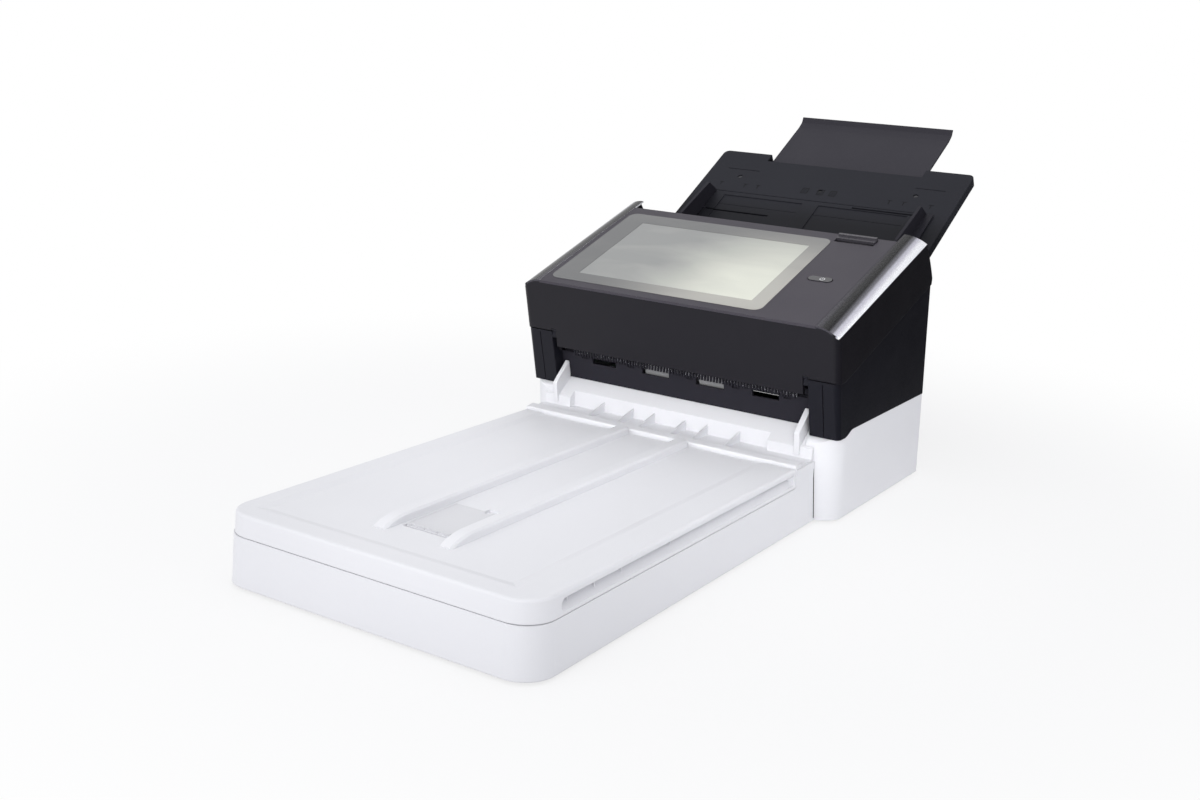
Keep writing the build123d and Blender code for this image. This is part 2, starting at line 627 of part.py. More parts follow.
def lower_guide():
    """The lower paper guide with its front face, roller windows and long paper ribs."""
    guide = PATH * block(-127, 127, 2.0, 163, -2.6, -1.0)
    low, top = EXIT_FACE_LOW, EXIT_FACE_TOP
    face = [(exit_face_y(low), low), (exit_face_y(top), top)]
    face += [(3.4, top + 1.6), (exit_face_y(low) + 2.4, low)]
    guide += side_prism(face, -129.6, 129.6)
    for x in (-104, -62, -48, -8, 8, 48, 62, 104):
        guide += PATH * block(x - 0.8, x + 0.8, 4, 162, -1.2, -0.6)
    for kind, along in (("eject", EJECT_AT), ("transport", TRANSPORT_AT), ("feed", FEED_AT)):
        for cut in windows(kind, along, -4, 2, 11.5):
            guide -= cut
    for x in TYRE_PLACES["eject"]:
        guide -= block(x - 14.2, x + 14.2, 0, 12, 98.8, 112)
    for x in (-83, 83):
        guide -= block(x - 13, x + 13, 0, 7, 98.8, 104.6)
    for x in (-104, -54, 54, 104, 8):
        guide -= block(x - 3.5, x + 3.5, 0, 3.2, 102.2, 104.6)
    guide -= PATH * block(-122, 122, SENSOR_AT - 8.2, SENSOR_AT + 8.2, -5, 0)
    return guide


def image_sensor(above):
    """A contact sensor bar across the path; its glass faces the paper."""
    low, high, reach, end_low, end_high = -17.0, -0.6, 127, -17.0, -3.6
    if above:
        low, high, reach, end_low, end_high = 0.9, 17.0, 126, 3.9, 17.0
    bar = PATH * block(-121.8, 121.8, SENSOR_AT - 8, SENSOR_AT + 8, low, high)
    return bar + PATH * block(-reach, reach, SENSOR_AT - 4, SENSOR_AT + 4, end_low, end_high)


def roller_shaft(shaft, right_end):
    """A plain steel shaft with a turned groove near its left end."""
    bar = cross_rod(SHAFT_RADIUS, shaft, -131.5, right_end)
    ring = cross_rod(SHAFT_RADIUS + 1, shaft, -130.9, -130.1)
    ring -= cross_rod(SHAFT_RADIUS - 0.5, shaft, -131, -130)
    return bar - ring


def tyres(kind, shaft, radius, bore):
    """The rubber tyres of one shaft, as separate rings with rounded rims."""
    rings = []
    for x in TYRE_PLACES[kind]:
        half = TYRE_WIDTH[kind] / 2
        ring = cross_rod(radius, shaft, x - half, x + half)
        ring = chamfer(ring.edges().filter_by(GeomType.CIRCLE), 0.8)
        rings.append(ring - cross_rod(bore, shaft, x - half - 1, x + half + 1))
    return Compound([solid for ring in rings for solid in ring.solids()])


def involute_angle(radius, base_radius):
    """The angle by which an involute has turned at a radius."""
    pressure = acos(min(1.0, base_radius / radius))
    return tan(pressure) - pressure


def gear_face(teeth, phase):
    """An involute gear's outline; phase is the angle of one tooth's middle in degrees."""
    pitch = teeth * MODULE / 2
    base = pitch * cos(radians(20))
    root = pitch - 1.25 * MODULE
    tip = pitch + MODULE
    half = pi / (2 * teeth) - BACKLASH / (2 * pitch) + involute_angle(pitch, base)
    points = []
    for tooth in range(teeth):
        middle = radians(phase) + 2 * pi * tooth / teeth
        flank = [(root, max(root, base)), (max(root, base), max(root, base)), (pitch, pitch), (tip, tip)]
        for side, order in ((-1, flank), (1, flank[::-1])):
            for radius, on_curve in order:
                angle = middle + side * (half - involute_angle(on_curve, base))
                points.append((radius * cos(angle), radius * sin(angle)))
    return Polygon(*points, align=None)


def gear(teeth, phase, place, bore):
    """A spur gear on a cross shaft, with a thinner web where there is room for one."""
    plane = Plane((GEAR_X, place[0], place[1]), x_dir=(0, 1, 0), z_dir=(1, 0, 0))
    wheel = extrude(plane * gear_face(teeth, phase), GEAR_WIDTH, dir=(1, 0, 0))
    rim = teeth * MODULE / 2 - 3.4
    if rim > 7:
        ring = cross_rod(rim, place, GEAR_X + 5, GEAR_X + 9) - cross_rod(6, place, GEAR_X + 4, GEAR_X + 10)
        wheel -= ring
    return wheel - cross_rod(bore, place, GEAR_X - 1, GEAR_X + GEAR_WIDTH + 1)


def meshed_phase(driver, driver_teeth, driver_phase, driven, driven_teeth):
    """The phase that puts a gap of the driven gear where a tooth of the driver points."""
    line = degrees(atan2(driven[1] - driver[1], driven[0] - driver[0]))
    pitch = 360.0 / driver_teeth
    offset = (driver_phase - line) % pitch
    gap = line + 180 - offset * driver_teeth / driven_teeth
    return gap + 180.0 / driven_teeth


def gear_phases():
    """The phase of every gear of the train, worked out from the transport gear's."""
    large = meshed_phase(TRANSPORT_SHAFT, ROLLER_TEETH, 0.0, LARGE_IDLER, LARGE_IDLER_TEETH)
    small = meshed_phase(TRANSPORT_SHAFT, ROLLER_TEETH, 0.0, SMALL_IDLER, SMALL_IDLER_TEETH)
    eject = meshed_phase(LARGE_IDLER, LARGE_IDLER_TEETH, large, EJECT_SHAFT, ROLLER_TEETH)
    motor = meshed_phase(LARGE_IDLER, LARGE_IDLER_TEETH, large, MOTOR_SHAFT, MOTOR_TEETH)
    feed = meshed_phase(SMALL_IDLER, SMALL_IDLER_TEETH, small, FEED_SHAFT, ROLLER_TEETH)
    return {"transport": 0.0, "large": large, "small": small, "eject": eject, "motor": motor, "feed": feed}


def drive_motor():
    """The motor on the inside of the right frame, with its shaft through the plate."""
    body = cross_rod(16.0, MOTOR_SHAFT, 98, 125.5)
    body += cross_rod(18.5, MOTOR_SHAFT, 125.4, 127.0)
    body += cross_rod(6.0, MOTOR_SHAFT, 95, 98.2)
    return body + cross_rod(1.5, MOTOR_SHAFT, 126, GEAR_X + GEAR_WIDTH + 1)


def main_board():
    """The circuit board on its posts, with a few tall parts on it."""
    board = block(-110, 110, 62, 168, 12.0, 13.6)
    for x, y, wide, deep, tall in ((-70, 90, 22, 22, 4), (-20, 95, 16, 16, 3), (40, 100, 30, 18, 14)):
        board += block(x, x + wide, y, y + deep, 13.0, 13.6 + tall)
    for x in (70, 84, 98):
        board += rod(4.5, (x, 140, 13.0), (x, 140, 26))
    for x in (-104, 104):
        for y in (68, 162):
            board += rod(3.0, (x, y, 4.5), (x, y, 13))
    return board


PORT_BACK_Y = 184.0

# Each socket is (middle x, width, height, depth): network, square and flat data sockets
SOCKETS = ((-22.0, 16.0, 13.5, 14.0), (6.0, 12.4, 11.2, 14.0), (34.0, 14.0, 8.4, 14.0))
INLET_X = -54.0


def rear_port_panel():
    """The plate in the window of the rear wall, with a cut-out round each socket."""
    x0, x1, z0, z1 = PORT_WINDOW
    plate = block(x0, x1, PORT_BACK_Y, PORT_BACK_Y + 2, z0, z1)
    for x, wide, tall, _ in SOCKETS:
        low, high = 37 - tall / 2, 37 + tall / 2
        plate -= block(x - wide / 2, x + wide / 2, PORT_BACK_Y - 1, PORT_BACK_Y + 3, low, high)
    return plate - rod(4.0, (INLET_X, PORT_BACK_Y - 1, 37), (INLET_X, PORT_BACK_Y + 3, 37))


def rear_sockets():
    """The data sockets and the round power inlet, hollow and open to the rear."""
    shells = []
    for x, wide, tall, deep in SOCKETS:
        z0, z1 = 37 - tall / 2, 37 + tall / 2
        shell = block(x - wide / 2, x + wide / 2, PORT_BACK_Y + 2 - deep, PORT_BACK_Y + 2.4, z0, z1)
        shell -= block(x - wide / 2 + 1, x + wide / 2 - 1, PORT_BACK_Y + 4 - deep, 190, z0 + 1, z1 - 1)
        tongue = wide / 2 - 2.2
        shell += block(x - tongue, x + tongue, PORT_BACK_Y + 3 - deep, PORT_BACK_Y, z1 - 2.4, z1 - 1)
        shells.append(shell)
    inlet = rod(5.0, (INLET_X, PORT_BACK_Y + 2, 37), (INLET_X, PORT_BACK_Y + 2.6, 37))
    inlet += rod(4.0, (INLET_X, PORT_BACK_Y - 10, 37), (INLET_X, PORT_BACK_Y + 2.2, 37))
    inlet -= rod(2.9, (INLET_X, PORT_BACK_Y - 8, 37), (INLET_X, PORT_BACK_Y + 4, 37))
    inlet += rod(0.9, (INLET_X, PORT_BACK_Y - 9, 37), (INLET_X, PORT_BACK_Y + 1, 37))
    shells.append(inlet)
    return Compound([solid for shell in shells for solid in shell.solids()])


FOOT_PLACES = ((-118, -392), (118, -392), (-118, -70), (118, -70), (-128, 172), (128, 172), (0, 172))


def rubber_feet():
    """The round rubber feet under both units."""
    feet = []
    for x, y in FOOT_PLACES:
        foot = rod(8.0, (x, y, 0), (x, y, FOOT_HEIGHT))
        feet.append(chamfer(foot.edges().filter_by(GeomType.CIRCLE).sort_by(Axis.Z)[0], 0.6))
    return Compound([solid for foot in feet for solid in foot.solids()])


def housing_screws():
    """The screws that hold the floor to the posts of the base, with cross slots in their heads."""
    screws = []
    for x, y in SCREW_PLACES:
        head = rod(3.2, (x, y, 1.0), (x, y, FOOT_HEIGHT)) + rod(1.5, (x, y, 1.5), (x, y, 12))
        head -= block(x - 2, x + 2, y - 0.4, y + 0.4, 0, 1.7)
        screws.append(head - block(x - 0.4, x + 0.4, y - 2, y + 2, 0, 1.7))
    return Compound([solid for screw in screws for solid in screw.solids()])


def cover_outline():
    """The front cover's side outline, with the ears that run on behind the panel."""
    bottom = COVER_BOTTOM_Z
    rear_parting = bottom + (176.8 - PARTING_BEND_Y) * PARTING_RISE
    top_front = PANEL_FRONT[1] + 1.0
    edges = [
        Line((face_y(bottom), bottom), (PARTING_BEND_Y, bottom)),
        Line((PARTING_BEND_Y, bottom), (176.8, rear_parting)),
        Line((176.8, rear_parting), (177.3, 192.7)),
        ThreePointArc((177.3, 192.7), (168, 208), (147, panel_z(147))),
        Line((147, panel_z(147)), (top_front, panel_z(top_front))),
        Line((top_front, panel_z(top_front)), (face_y(bottom), bottom)),
    ]
    return make_face(edges)


def cover_section():
    """The section across the panel: flat in the middle, round over both side strips."""
    half = UNIT_WIDTH / 2
    flat = PANEL_HALF_WIDTH
    drop = STRIP_RADIUS - (STRIP_RADIUS**2 - (half - flat) ** 2) ** 0.5
    turn = asin((half - flat) / STRIP_RADIUS) / 2
    middle = (flat + STRIP_RADIUS * sin(turn), STRIP_RADIUS * cos(turn) - STRIP_RADIUS)
    edges = [
        Line((-flat, 0), (flat, 0)),
        ThreePointArc((flat, 0), middle, (half, -drop)),
        Line((half, -drop), (half, -120)),
        Line((half, -120), (-half, -120)),
        Line((-half, -120), (-half, -drop)),
        ThreePointArc((-half, -drop), (-middle[0], middle[1]), (-flat, 0)),
    ]
    return make_face(edges)


def cover_blank():
    """The solid outer form of the cover before it is hollowed."""
    half = UNIT_WIDTH / 2
    form = extrude(Plane.YZ.offset(-half) * cover_outline(), 2 * half)
    form &= extrude(PANEL_SECTION.offset(-40) * cover_section(), 260)
    return form & leaning_form(half, face_y(110) - 0.02, FRONT_CORNER, FACE_LEAN, 110, 260)


def strip_form(thick):
    """The round edge strips of the right and left side, down to the given thickness."""
    half = UNIT_WIDTH / 2
    flat = PANEL_HALF_WIDTH + 0.2
    outer = Pos(PANEL_HALF_WIDTH, -STRIP_RADIUS) * Circle(STRIP_RADIUS + 3)
    inner = Pos(PANEL_HALF_WIDTH, -STRIP_RADIUS) * Circle(STRIP_RADIUS - thick)
    wedge = Polygon((flat, 10), (half + 5, 10), (half + 5, -5.0), (PANEL_HALF_WIDTH, -STRIP_RADIUS),
                    (flat, -STRIP_RADIUS), align=None)
    section = (outer - inner) & wedge
    strip = extrude(PANEL_SECTION.offset(-40) * section, 260)
    return both_sides(strip)


def cover_cavity():
    """The hollow inside the cover, lower under the side strips."""
    front = 3.4
    rear = 131.0
    hollow = []
    for deep, x0, x1 in ((4.6, -136.5, 136.5), (14.0, 136.4, 154.6), (14.0, -154.6, -136.4)):
        lift = deep / PANEL_COSINE
        top = COVER_BOTTOM_Z
        for _ in range(20):
            top = panel_z(face_y(top) + front) - lift
        points = [(face_y(118) + front, 118), (face_y(top) + front, top)]
        points += [(rear, panel_z(rear) - lift), (rear, 118)]
        hollow.append(side_prism(points, x0, x1))
    return hollow[0] + hollow[1] + hollow[2]


def front_cover():
    """The black cover that opens forward: face, side walls, ears and inner ribs."""
    blank = cover_blank()
    cover = blank - cover_cavity()
    mouth_rear = 240.0
    cover -= block(-142.3, 142.3, 134.0, mouth_rear, 100, 300)
    cover -= block(-129.8, 129.8, 120, mouth_rear, 100, 182)
    lip = [(face_y(113), 113), (face_y(131), 131), (-10.5, 131), (-10.5, 113)]
    cover += side_prism(lip, -125.2, 125.2)
    rib_front, rib_rear = -6.0, 131.5
    rib = [
        (rib_front, path_place(rib_front / PATH_COSINE, 3.4)[1]),
        (rib_front, panel_z(rib_front) - 4.0),
        (rib_rear, panel_z(rib_rear) - 4.0),
        (rib_rear, 182.0),
        (126.0, 182.0),
        (126.0, path_place(126.0 / PATH_COSINE, 3.4)[1]),
    ]
    cover += both_sides(side_prism(rib, 126.0, 128.4)) & blank_below(cover_blank())
    y, z = COVER_HINGE
    corner = block(-200, 200, y - 20, y, z - 12, z) - cross_rod(CORNER_ROUND, COVER_HINGE, -200, 200)
    cover -= both_sides(corner & block(129.9, 200, -100, 100, 0, 200))
    notch = cross_rod(2.35, COVER_HINGE, 125.2, 130.0) + block(125.2, 130.0, y - 20, y, 100, z + 0.4)
    cover -= both_sides(notch + block(125.2, 130.0, y - 1, y + 2.35, 100, z))
    cover -= both_sides(cross_rod(COVER_PIN_RADIUS, COVER_HINGE, 119, 134))
    cover -= strip_form(STRIP_THICK)
    cover -= PANEL * block(-PANEL_HALF_WIDTH - 0.2, PANEL_HALF_WIDTH + 0.2, -30, 260, -PANEL_THICK, 30)
    cover -= PANEL * block(92, 118, 74, 86, -8, 0)
    cover -= PANEL * block(82, 123, 153, 168.4, -8, 0)
    return cover


def blank_below(form):
    """The space that the inner ribs may fill: the cover's form and the room under it."""
    return form + block(-158, 158, -14, 134, 100, 175)


SCREEN = (-132.6, 82.0, 10.0, 157.0)
DISPLAY = (-110.0, 67.0, 25.0, 139.0)
SCREEN_DEPTH = 1.5
BUTTON_PLACE = (105.0, 80.0)
BUTTON_SIZE = (22.0, 8.0)
LEVER = (84.0, 121.0, 159.5, 167.0)


def rounded_plate(x0, x1, s0, s1, n0, n1, corner):
    """A plate on the panel's plane with rounded corners."""
    plan = Pos((x0 + x1) / 2, (s0 + s1) / 2, n0) * RectangleRounded(x1 - x0, s1 - s0, corner)
    return PANEL * extrude(plan, n1 - n0)


def button_form(grow, low, high):
    """The pill of the power button, grown by a clearance."""
    pill = SlotOverall(BUTTON_SIZE[0] + 2 * grow, BUTTON_SIZE[1] + 2 * grow)
    plan = Pos(BUTTON_PLACE[0], BUTTON_PLACE[1], low) * pill
    return PANEL * extrude(plan, high - low)


def control_panel():
    """The flat top panel, with the seats of the screen, the button and the lever."""
    half = PANEL_HALF_WIDTH
    plate = PANEL * block(-half, half, 0.6, PANEL_LENGTH, -PANEL_THICK, 0)
    plate -= rounded_plate(*SCREEN, -SCREEN_DEPTH, 1, 8.0)
    plate -= rounded_plate(*DISPLAY, -5, 1, 1.0)
    plate -= button_form(0.6, -6, 2)
    plate -= PANEL * block(LEVER[0] - 0.6, LEVER[1] + 0.6, LEVER[2] - 5.0, LEVER[3] + 0.5, -6, 2)
    return plate


def screen_bezel():
    """The glass frame round the display."""
    frame = rounded_plate(*SCREEN, -SCREEN_DEPTH, 0.3, 8.0)
    return frame - rounded_plate(*DISPLAY, -5, 2, 1.0)


def display_panel():
    """The display itself, with its back plate under the glass frame."""
    x0, x1, s0, s1 = DISPLAY
    return rounded_plate(x0, x1, s0, s1, -PANEL_THICK, 0.1, 1.0)


def side_strips():
    """The glossy strips along both sides of the panel."""
    return strip_form(STRIP_THICK) & cover_blank()


def cover_hinge_pins():
    return both_sides(cross_rod(COVER_PIN_RADIUS, COVER_HINGE, 119.2, 133.8))


def upper_guide():
    """The upper paper guide, with idler windows, shaft ears, ribs and the comb at its exit."""
    guide = PATH * block(-126, 126, 3.0, 138, 1.6, 3.2)
    for x in (-104, -62, -48, -8, 8, 48, 62, 104):
        guide += PATH * block(x - 0.8, x + 0.8, 4, 137, 0.9, 1.8)
    for kind, along in (("eject", EJECT_AT), ("transport", TRANSPORT_AT), ("feed", FEED_AT)):
        for cut in windows(kind, along, -1, 8, 8.5):
            guide -= cut
    guide -= PATH * block(-22, 22, FEED_AT - 9.6, FEED_AT + 9.6, -1, 8)
    guide -= PATH * block(-122, 122, SENSOR_AT - 8.2, SENSOR_AT + 8.2, -1, 8)
    for along, reach, radius in ((EJECT_AT, 46.0, 1.5), (TRANSPORT_AT, 96.0, 1.5), (FEED_AT, 44.0, 2.0)):
        height = FEED_IDLER_RADIUS if along == FEED_AT else IDLER_RADIUS
        axle = path_place(along, height + NIP_GAP)
        ear = PATH * block(reach, reach + 3, along - 3.5, along + 3.5, 1.6, height + 4.5)
        guide += both_sides(ear)
        guide -= cross_rod(radius + RUNNING_GAP, axle, -110, 110)
    beam = [(-6.4, 112.2), (-6.4, 116.5), (3, 116.5), (3, 111.5)]
    beam += [(-1.2, 110.6), (-3.2, 110.6), (-3.2, 112.2)]
    guide += side_prism(beam, -126, 126) - PATH * block(-43, 43, 3.6, 20.5, -1, 12)
    teeth = 76
    for tooth in range(teeth):
        x = (tooth - (teeth - 1) / 2) * 3.0
        guide += block(x - 0.7, x + 0.7, -3.4, -1.8, 105.2, 111)
    return guide


def idler_rollers(kind, axle, radius, axle_radius, reach):
    """The small rollers that press on one row of tyres, with their axle."""
    body = cross_rod(axle_radius, axle, -reach, reach)
    for x in TYRE_PLACES[kind]:
        half = TYRE_WIDTH[kind] / 2 - 3
        roller = cross_rod(radius, axle, x - half, x + half)
        body += chamfer(roller.edges().filter_by(GeomType.CIRCLE), 0.6)
    return body


def separation_roller():
    """The single wide roller that holds back all pages but one."""
    body = cross_rod(2.0, SEPARATION_SHAFT, -46.5, 46.5)
    wheel = cross_rod(FEED_IDLER_RADIUS, SEPARATION_SHAFT, -20, 20)
    for x in (-12, -4, 4, 12):
        ring = cross_rod(FEED_IDLER_RADIUS + 1, SEPARATION_SHAFT, x - 0.6, x + 0.6)
        wheel -= ring - cross_rod(FEED_IDLER_RADIUS - 0.8, SEPARATION_SHAFT, x - 1, x + 1)
    return body + wheel


def power_button():
    """The pill-shaped button with a flange that keeps it behind the panel."""
    cap = button_form(0, -4.0, 0.5)
    return cap + button_form(1.4, -PANEL_THICK - 1.4, -PANEL_THICK - 0.2)


def release_lever():
    """The thumb lever at the rear edge of the panel that frees the cover."""
    x0, x1, s0, s1 = LEVER
    body = PANEL * block(x0, x1, s0, s1, -1.6, 1.4)
    body += PANEL * block(x0, x1, s1 - 3, s1, 1.2, 3.0)
    body += PANEL * block(x0 - 1.5, x1 + 1.5, s0, s1, -4.2, -PANEL_THICK - 0.3)
    return body + PANEL * block(x0 + 6, x1 - 6, s0 + 1, s1 - 1, -3.5, -1.5)


TRAY_NOTCH = (-84.0, 89.0, 166.0)
RACK_LOW = -5.6
RACK_HIGH = -2.6
RIGHT_SLOT = (40.0, 124.0, 101.2, 103.6)
LEFT_SLOT = (-124.0, -40.0, 72.4, 74.8)
TRAY_CORNER = 6.0


def tray_plan(inset):
    """The tray's outline on its slope, with round rear corners."""
    half = TRAY_HALF_WIDTH - inset
    s0, s1 = -4.0 + inset, TRAY_LENGTH - inset
    plan = Pos(0, (s0 + s1) / 2) * Rectangle(2 * half, s1 - s0)
    return fillet(plan.vertices().sort_by(Axis.Y)[-2:], TRAY_CORNER - inset)


def input_tray():
    """The folding tray: a top plate with side rims, guide slots and pivot stubs."""
    plate = extrude(tray_plan(0), -9.0) - extrude(Pos(0, 0, -2.2) * tray_plan(2.4), -10.0)
    plate -= block(-TRAY_HALF_WIDTH + 2.4, TRAY_HALF_WIDTH - 2.4, -10, 10, -12, -2.2)
    x0, x1, s0 = TRAY_NOTCH
    plate -= block(x0, x1, s0, TRAY_LENGTH + 5, -12, 5)
    for a, b in ((-102.0, -13.0), (5.0, 100.0)):
        plate -= block(a, b, 30, 100, -0.7, 1)
        plate -= block(a, b, 84.2, 84.8, -1.2, 1)
    for a, b in ((-121.0, -84.0), (90.0, 121.0)):
        plate -= block(a, b, 146, 147, -0.6, 1)
    plate -= block(-121, 121, 105.6, 106.6, -0.5, 1)
    plate -= block(RIGHT_SLOT[0], RIGHT_SLOT[1], RIGHT_SLOT[2], RIGHT_SLOT[3], -3, 1)
    plate -= block(LEFT_SLOT[0], LEFT_SLOT[1], LEFT_SLOT[2], LEFT_SLOT[3], -3, 1)
    for x, s in ((-101.0, 134.0), (95.0, 134.0), (-4.0, 124.0)):
        plate -= Pos(x, s, -0.5) * Cylinder(2.6, 2)
    plate += Pos(PINION_PLACE[0], PINION_PLACE[1], -3.9) * Cylinder(2.0, 3.6)
    tray = TRAY * plate
    lug = TRAY * block(134.0, 139.6, -10.0, 14.0, -9.0, -0.5) + cross_rod(5.4, TRAY_PIVOT, 134.0, 139.6)
    lug += cross_rod(TRAY_PIN_RADIUS, TRAY_PIVOT, 139.0, 148.0)
    return tray + both_sides(lug)


def tray_bottom_cover():
    """The plate that closes the tray from below."""
    plate = extrude(Pos(0, 0, -10.4) * tray_plan(2.6), 1.4) - block(-200, 200, -20, 16, -20, 5)
    for x in (-110.0, 110.0):
        for s in (40.0, 150.0):
            plate += Pos(x, s, -5.7) * Cylinder(3.0, 6.8)
    return TRAY * plate


def tray_extension():
    """The pull-out rest, with a lip curled up at its end."""
    points = [
        (150, -8.8), (243, -8.8), (252, -7.0), (257, -2.6), (255.6, -1.4), (250.6, -5.2),
        (242, -6.4), (150, -6.4),
    ]
    face = TRAY_SECTION.offset(-83.0) * Polygon(*points, align=None)
    return extrude(face, 171.0, dir=(1, 0, 0))


def rack(x0, x1, pitch_line, side):
    """A rack along X in the tray's plane; side is +1 where its back is up the slope."""
    pitch = pi * MODULE
    root = pitch_line + side * 1.25 * MODULE
    tip = pitch_line - side * MODULE
    slope = tan(radians(20))
    half = pitch / 4 - BACKLASH / 2
    points = [(x0, pitch_line + side * 5.0), (x0, root)]
    first = PINION_PLACE[0] + pitch / 2
    count = int((x1 - first) / pitch)
    start = -int((first - x0) / pitch)
    for tooth in range(start, count):
        middle = first + tooth * pitch
        wide, narrow = half + 1.25 * MODULE * slope, half - MODULE * slope
        if middle - wide > x0 + 0.3 and middle + wide < x1 - 0.3:
            points += [(middle - wide, root), (middle - narrow, tip)]
            points += [(middle + narrow, tip), (middle + wide, root)]
    points += [(x1, root), (x1, pitch_line + side * 5.0)]
    face = Pos(0, 0, RACK_LOW) * Polygon(*points, align=None)
    return extrude(face, RACK_HIGH - RACK_LOW, dir=(0, 0, 1))


def guide_fin(x, outward):
    """One upright side guide with its foot, in the tray's own coordinates."""
    points = [(26, 0.5), (106, 0.5), (96, 16.5), (36, 20.5), (30, 19), (26, 12)]
    face = Plane.YZ.offset(x - 1.5) * Polygon(*points, align=None)
    fin = extrude(face, 3.0, dir=(1, 0, 0))
    foot = block(min(x, x + outward * 9), max(x, x + outward * 9), 28, 104, 0.5, 2.0)
    return fin + foot


def right_paper_guide():
    """The right side guide, whose rack lies above the pinion."""
    rack_line = PINION_PLACE[1] + PINION_TEETH * MODULE / 2
    s0, s1 = RIGHT_SLOT[2] + 0.4, RIGHT_SLOT[3] - 0.4
    body = guide_fin(RIGHT_GUIDE_X, 1) + block(RIGHT_GUIDE_X - 4, RIGHT_GUIDE_X + 6, s0, s1, RACK_LOW, 1)
    body += rack(PINION_PLACE[0] - 16.0, RIGHT_GUIDE_X + 6, rack_line, 1)
    return TRAY * body


def left_paper_guide():
    """The left side guide, whose rack lies below the pinion."""
    rack_line = PINION_PLACE[1] - PINION_TEETH * MODULE / 2
    s0, s1 = LEFT_SLOT[2] + 0.4, LEFT_SLOT[3] - 0.4
    body = guide_fin(LEFT_GUIDE_X, -1) + block(LEFT_GUIDE_X - 5, LEFT_GUIDE_X + 4, s0, s1, RACK_LOW, 1)
    body += rack(LEFT_GUIDE_X - 5, PINION_PLACE[0] + 16.0, rack_line, -1)
    return TRAY * body


def guide_pinion():
    """The small gear that moves both guides together."""
    face = Pos(PINION_PLACE[0], PINION_PLACE[1], RACK_LOW) * gear_face(PINION_TEETH, 0.0)
    wheel = extrude(face, RACK_HIGH - RACK_LOW, dir=(0, 0, 1))
    wheel -= Pos(PINION_PLACE[0], PINION_PLACE[1], -4) * Cylinder(2.0 + RUNNING_GAP, 10)
    return TRAY * wheel


def build_all():
    """Every piece by name."""
    phases = gear_phases()
    shaft_end = GEAR_X + GEAR_WIDTH + 1
    idler_bore = SHAFT_RADIUS + RUNNING_GAP
    return {
        "flatbed_housing": flatbed_housing(),
        "platen_frame": platen_frame(),
        "platen_glass": platen_glass(),
        "calibration_strip": calibration_strip(),
        "carriage_guide_rod": carriage_guide_rod(),
        "carriage_belt": carriage_belt(),
        "carriage_motor": carriage_motor(),
        "idler_bracket": idler_bracket(),
        "exit_tray": exit_tray(),
        "base_housing": base_housing(),
        "base_bottom_plate": base_bottom_plate(),
        "lower_body": lower_body(),
        "side_frames": side_frames(),
        "lower_guide": lower_guide(),
        "lower_image_sensor": image_sensor(False),
        "main_board": main_board(),
        "rear_port_panel": rear_port_panel(),
        "rear_sockets": rear_sockets(),
        "drive_motor": drive_motor(),
        "rubber_feet": rubber_feet(),
        "housing_screws": housing_screws(),
        "scan_carriage": scan_carriage(),
        "carriage_light_bar": carriage_light_bar(),
        "belt_drive_pulley": pulley(BELT_REAR_Y),
        "belt_idler_pulley": pulley(BELT_FRONT_Y),
        "lid_shell": lid_shell(),
        "lid_pad": lid_pad(),
        "lid_hinge_pins": lid_hinge_pins(),
        "paper_stopper": paper_stopper(),
        "transport_shaft": roller_shaft(TRANSPORT_SHAFT, shaft_end),
        "transport_tyres": tyres("transport", TRANSPORT_SHAFT, ROLLER_RADIUS, SHAFT_RADIUS),
        "transport_gear": gear(ROLLER_TEETH, phases["transport"], TRANSPORT_SHAFT, SHAFT_RADIUS),
        "eject_shaft": roller_shaft(EJECT_SHAFT, shaft_end),
        "eject_tyres": tyres("eject", EJECT_SHAFT, ROLLER_RADIUS, SHAFT_RADIUS),
        "eject_gear": gear(ROLLER_TEETH, phases["eject"], EJECT_SHAFT, SHAFT_RADIUS),
        "feed_shaft": roller_shaft(FEED_SHAFT, shaft_end),
        "feed_tyres": tyres("feed", FEED_SHAFT, ROLLER_RADIUS, SHAFT_RADIUS),
        "feed_gear": gear(ROLLER_TEETH, phases["feed"], FEED_SHAFT, SHAFT_RADIUS),
        "large_idler_gear": gear(LARGE_IDLER_TEETH, phases["large"], LARGE_IDLER, idler_bore),
        "small_idler_gear": gear(SMALL_IDLER_TEETH, phases["small"], SMALL_IDLER, idler_bore),
        "motor_pinion": gear(MOTOR_TEETH, phases["motor"], MOTOR_SHAFT, 1.5 + RUNNING_GAP),
        "front_cover": front_cover(),
        "control_panel": control_panel(),
        "side_strips": side_strips(),
        "screen_bezel": screen_bezel(),
        "display_panel": display_panel(),
        "upper_guide": upper_guide(),
        "upper_image_sensor": image_sensor(True),
        "cover_hinge_pins": cover_hinge_pins(),
        "separation_roller": separation_roller(),
        "transport_idlers": idler_rollers("transport", TRANSPORT_IDLER, IDLER_RADIUS, 1.5, 98.5),
        "eject_idlers": idler_rollers("eject", EJECT_IDLER, IDLER_RADIUS, 1.5, 48.5),
        "power_button": power_button(),
        "release_lever": release_lever(),
        "input_tray": input_tray(),
        "tray_bottom_cover": tray_bottom_cover(),
        "tray_extension": tray_extension(),
        "left_paper_guide": left_paper_guide(),
        "right_paper_guide": right_paper_guide(),
        "guide_pinion": guide_pinion(),
    }


pieces = build_all()
boxes = [piece.bounding_box() for piece in pieces.values()]
MIDDLE_Y = (min(box.min.Y for box in boxes) + max(box.max.Y for box in boxes)) / 2
os.makedirs("parts", exist_ok=True)
for name, piece in pieces.items():
    export_step(Pos(0, -MIDDLE_Y, 0) * piece, f"parts/{name}.step")
print(len(pieces), "pieces; middle y", round(MIDDLE_Y, 3))
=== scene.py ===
import bpy
import bmesh
import json
from math import cos, pi, radians, sin
from mathutils import Matrix, Vector


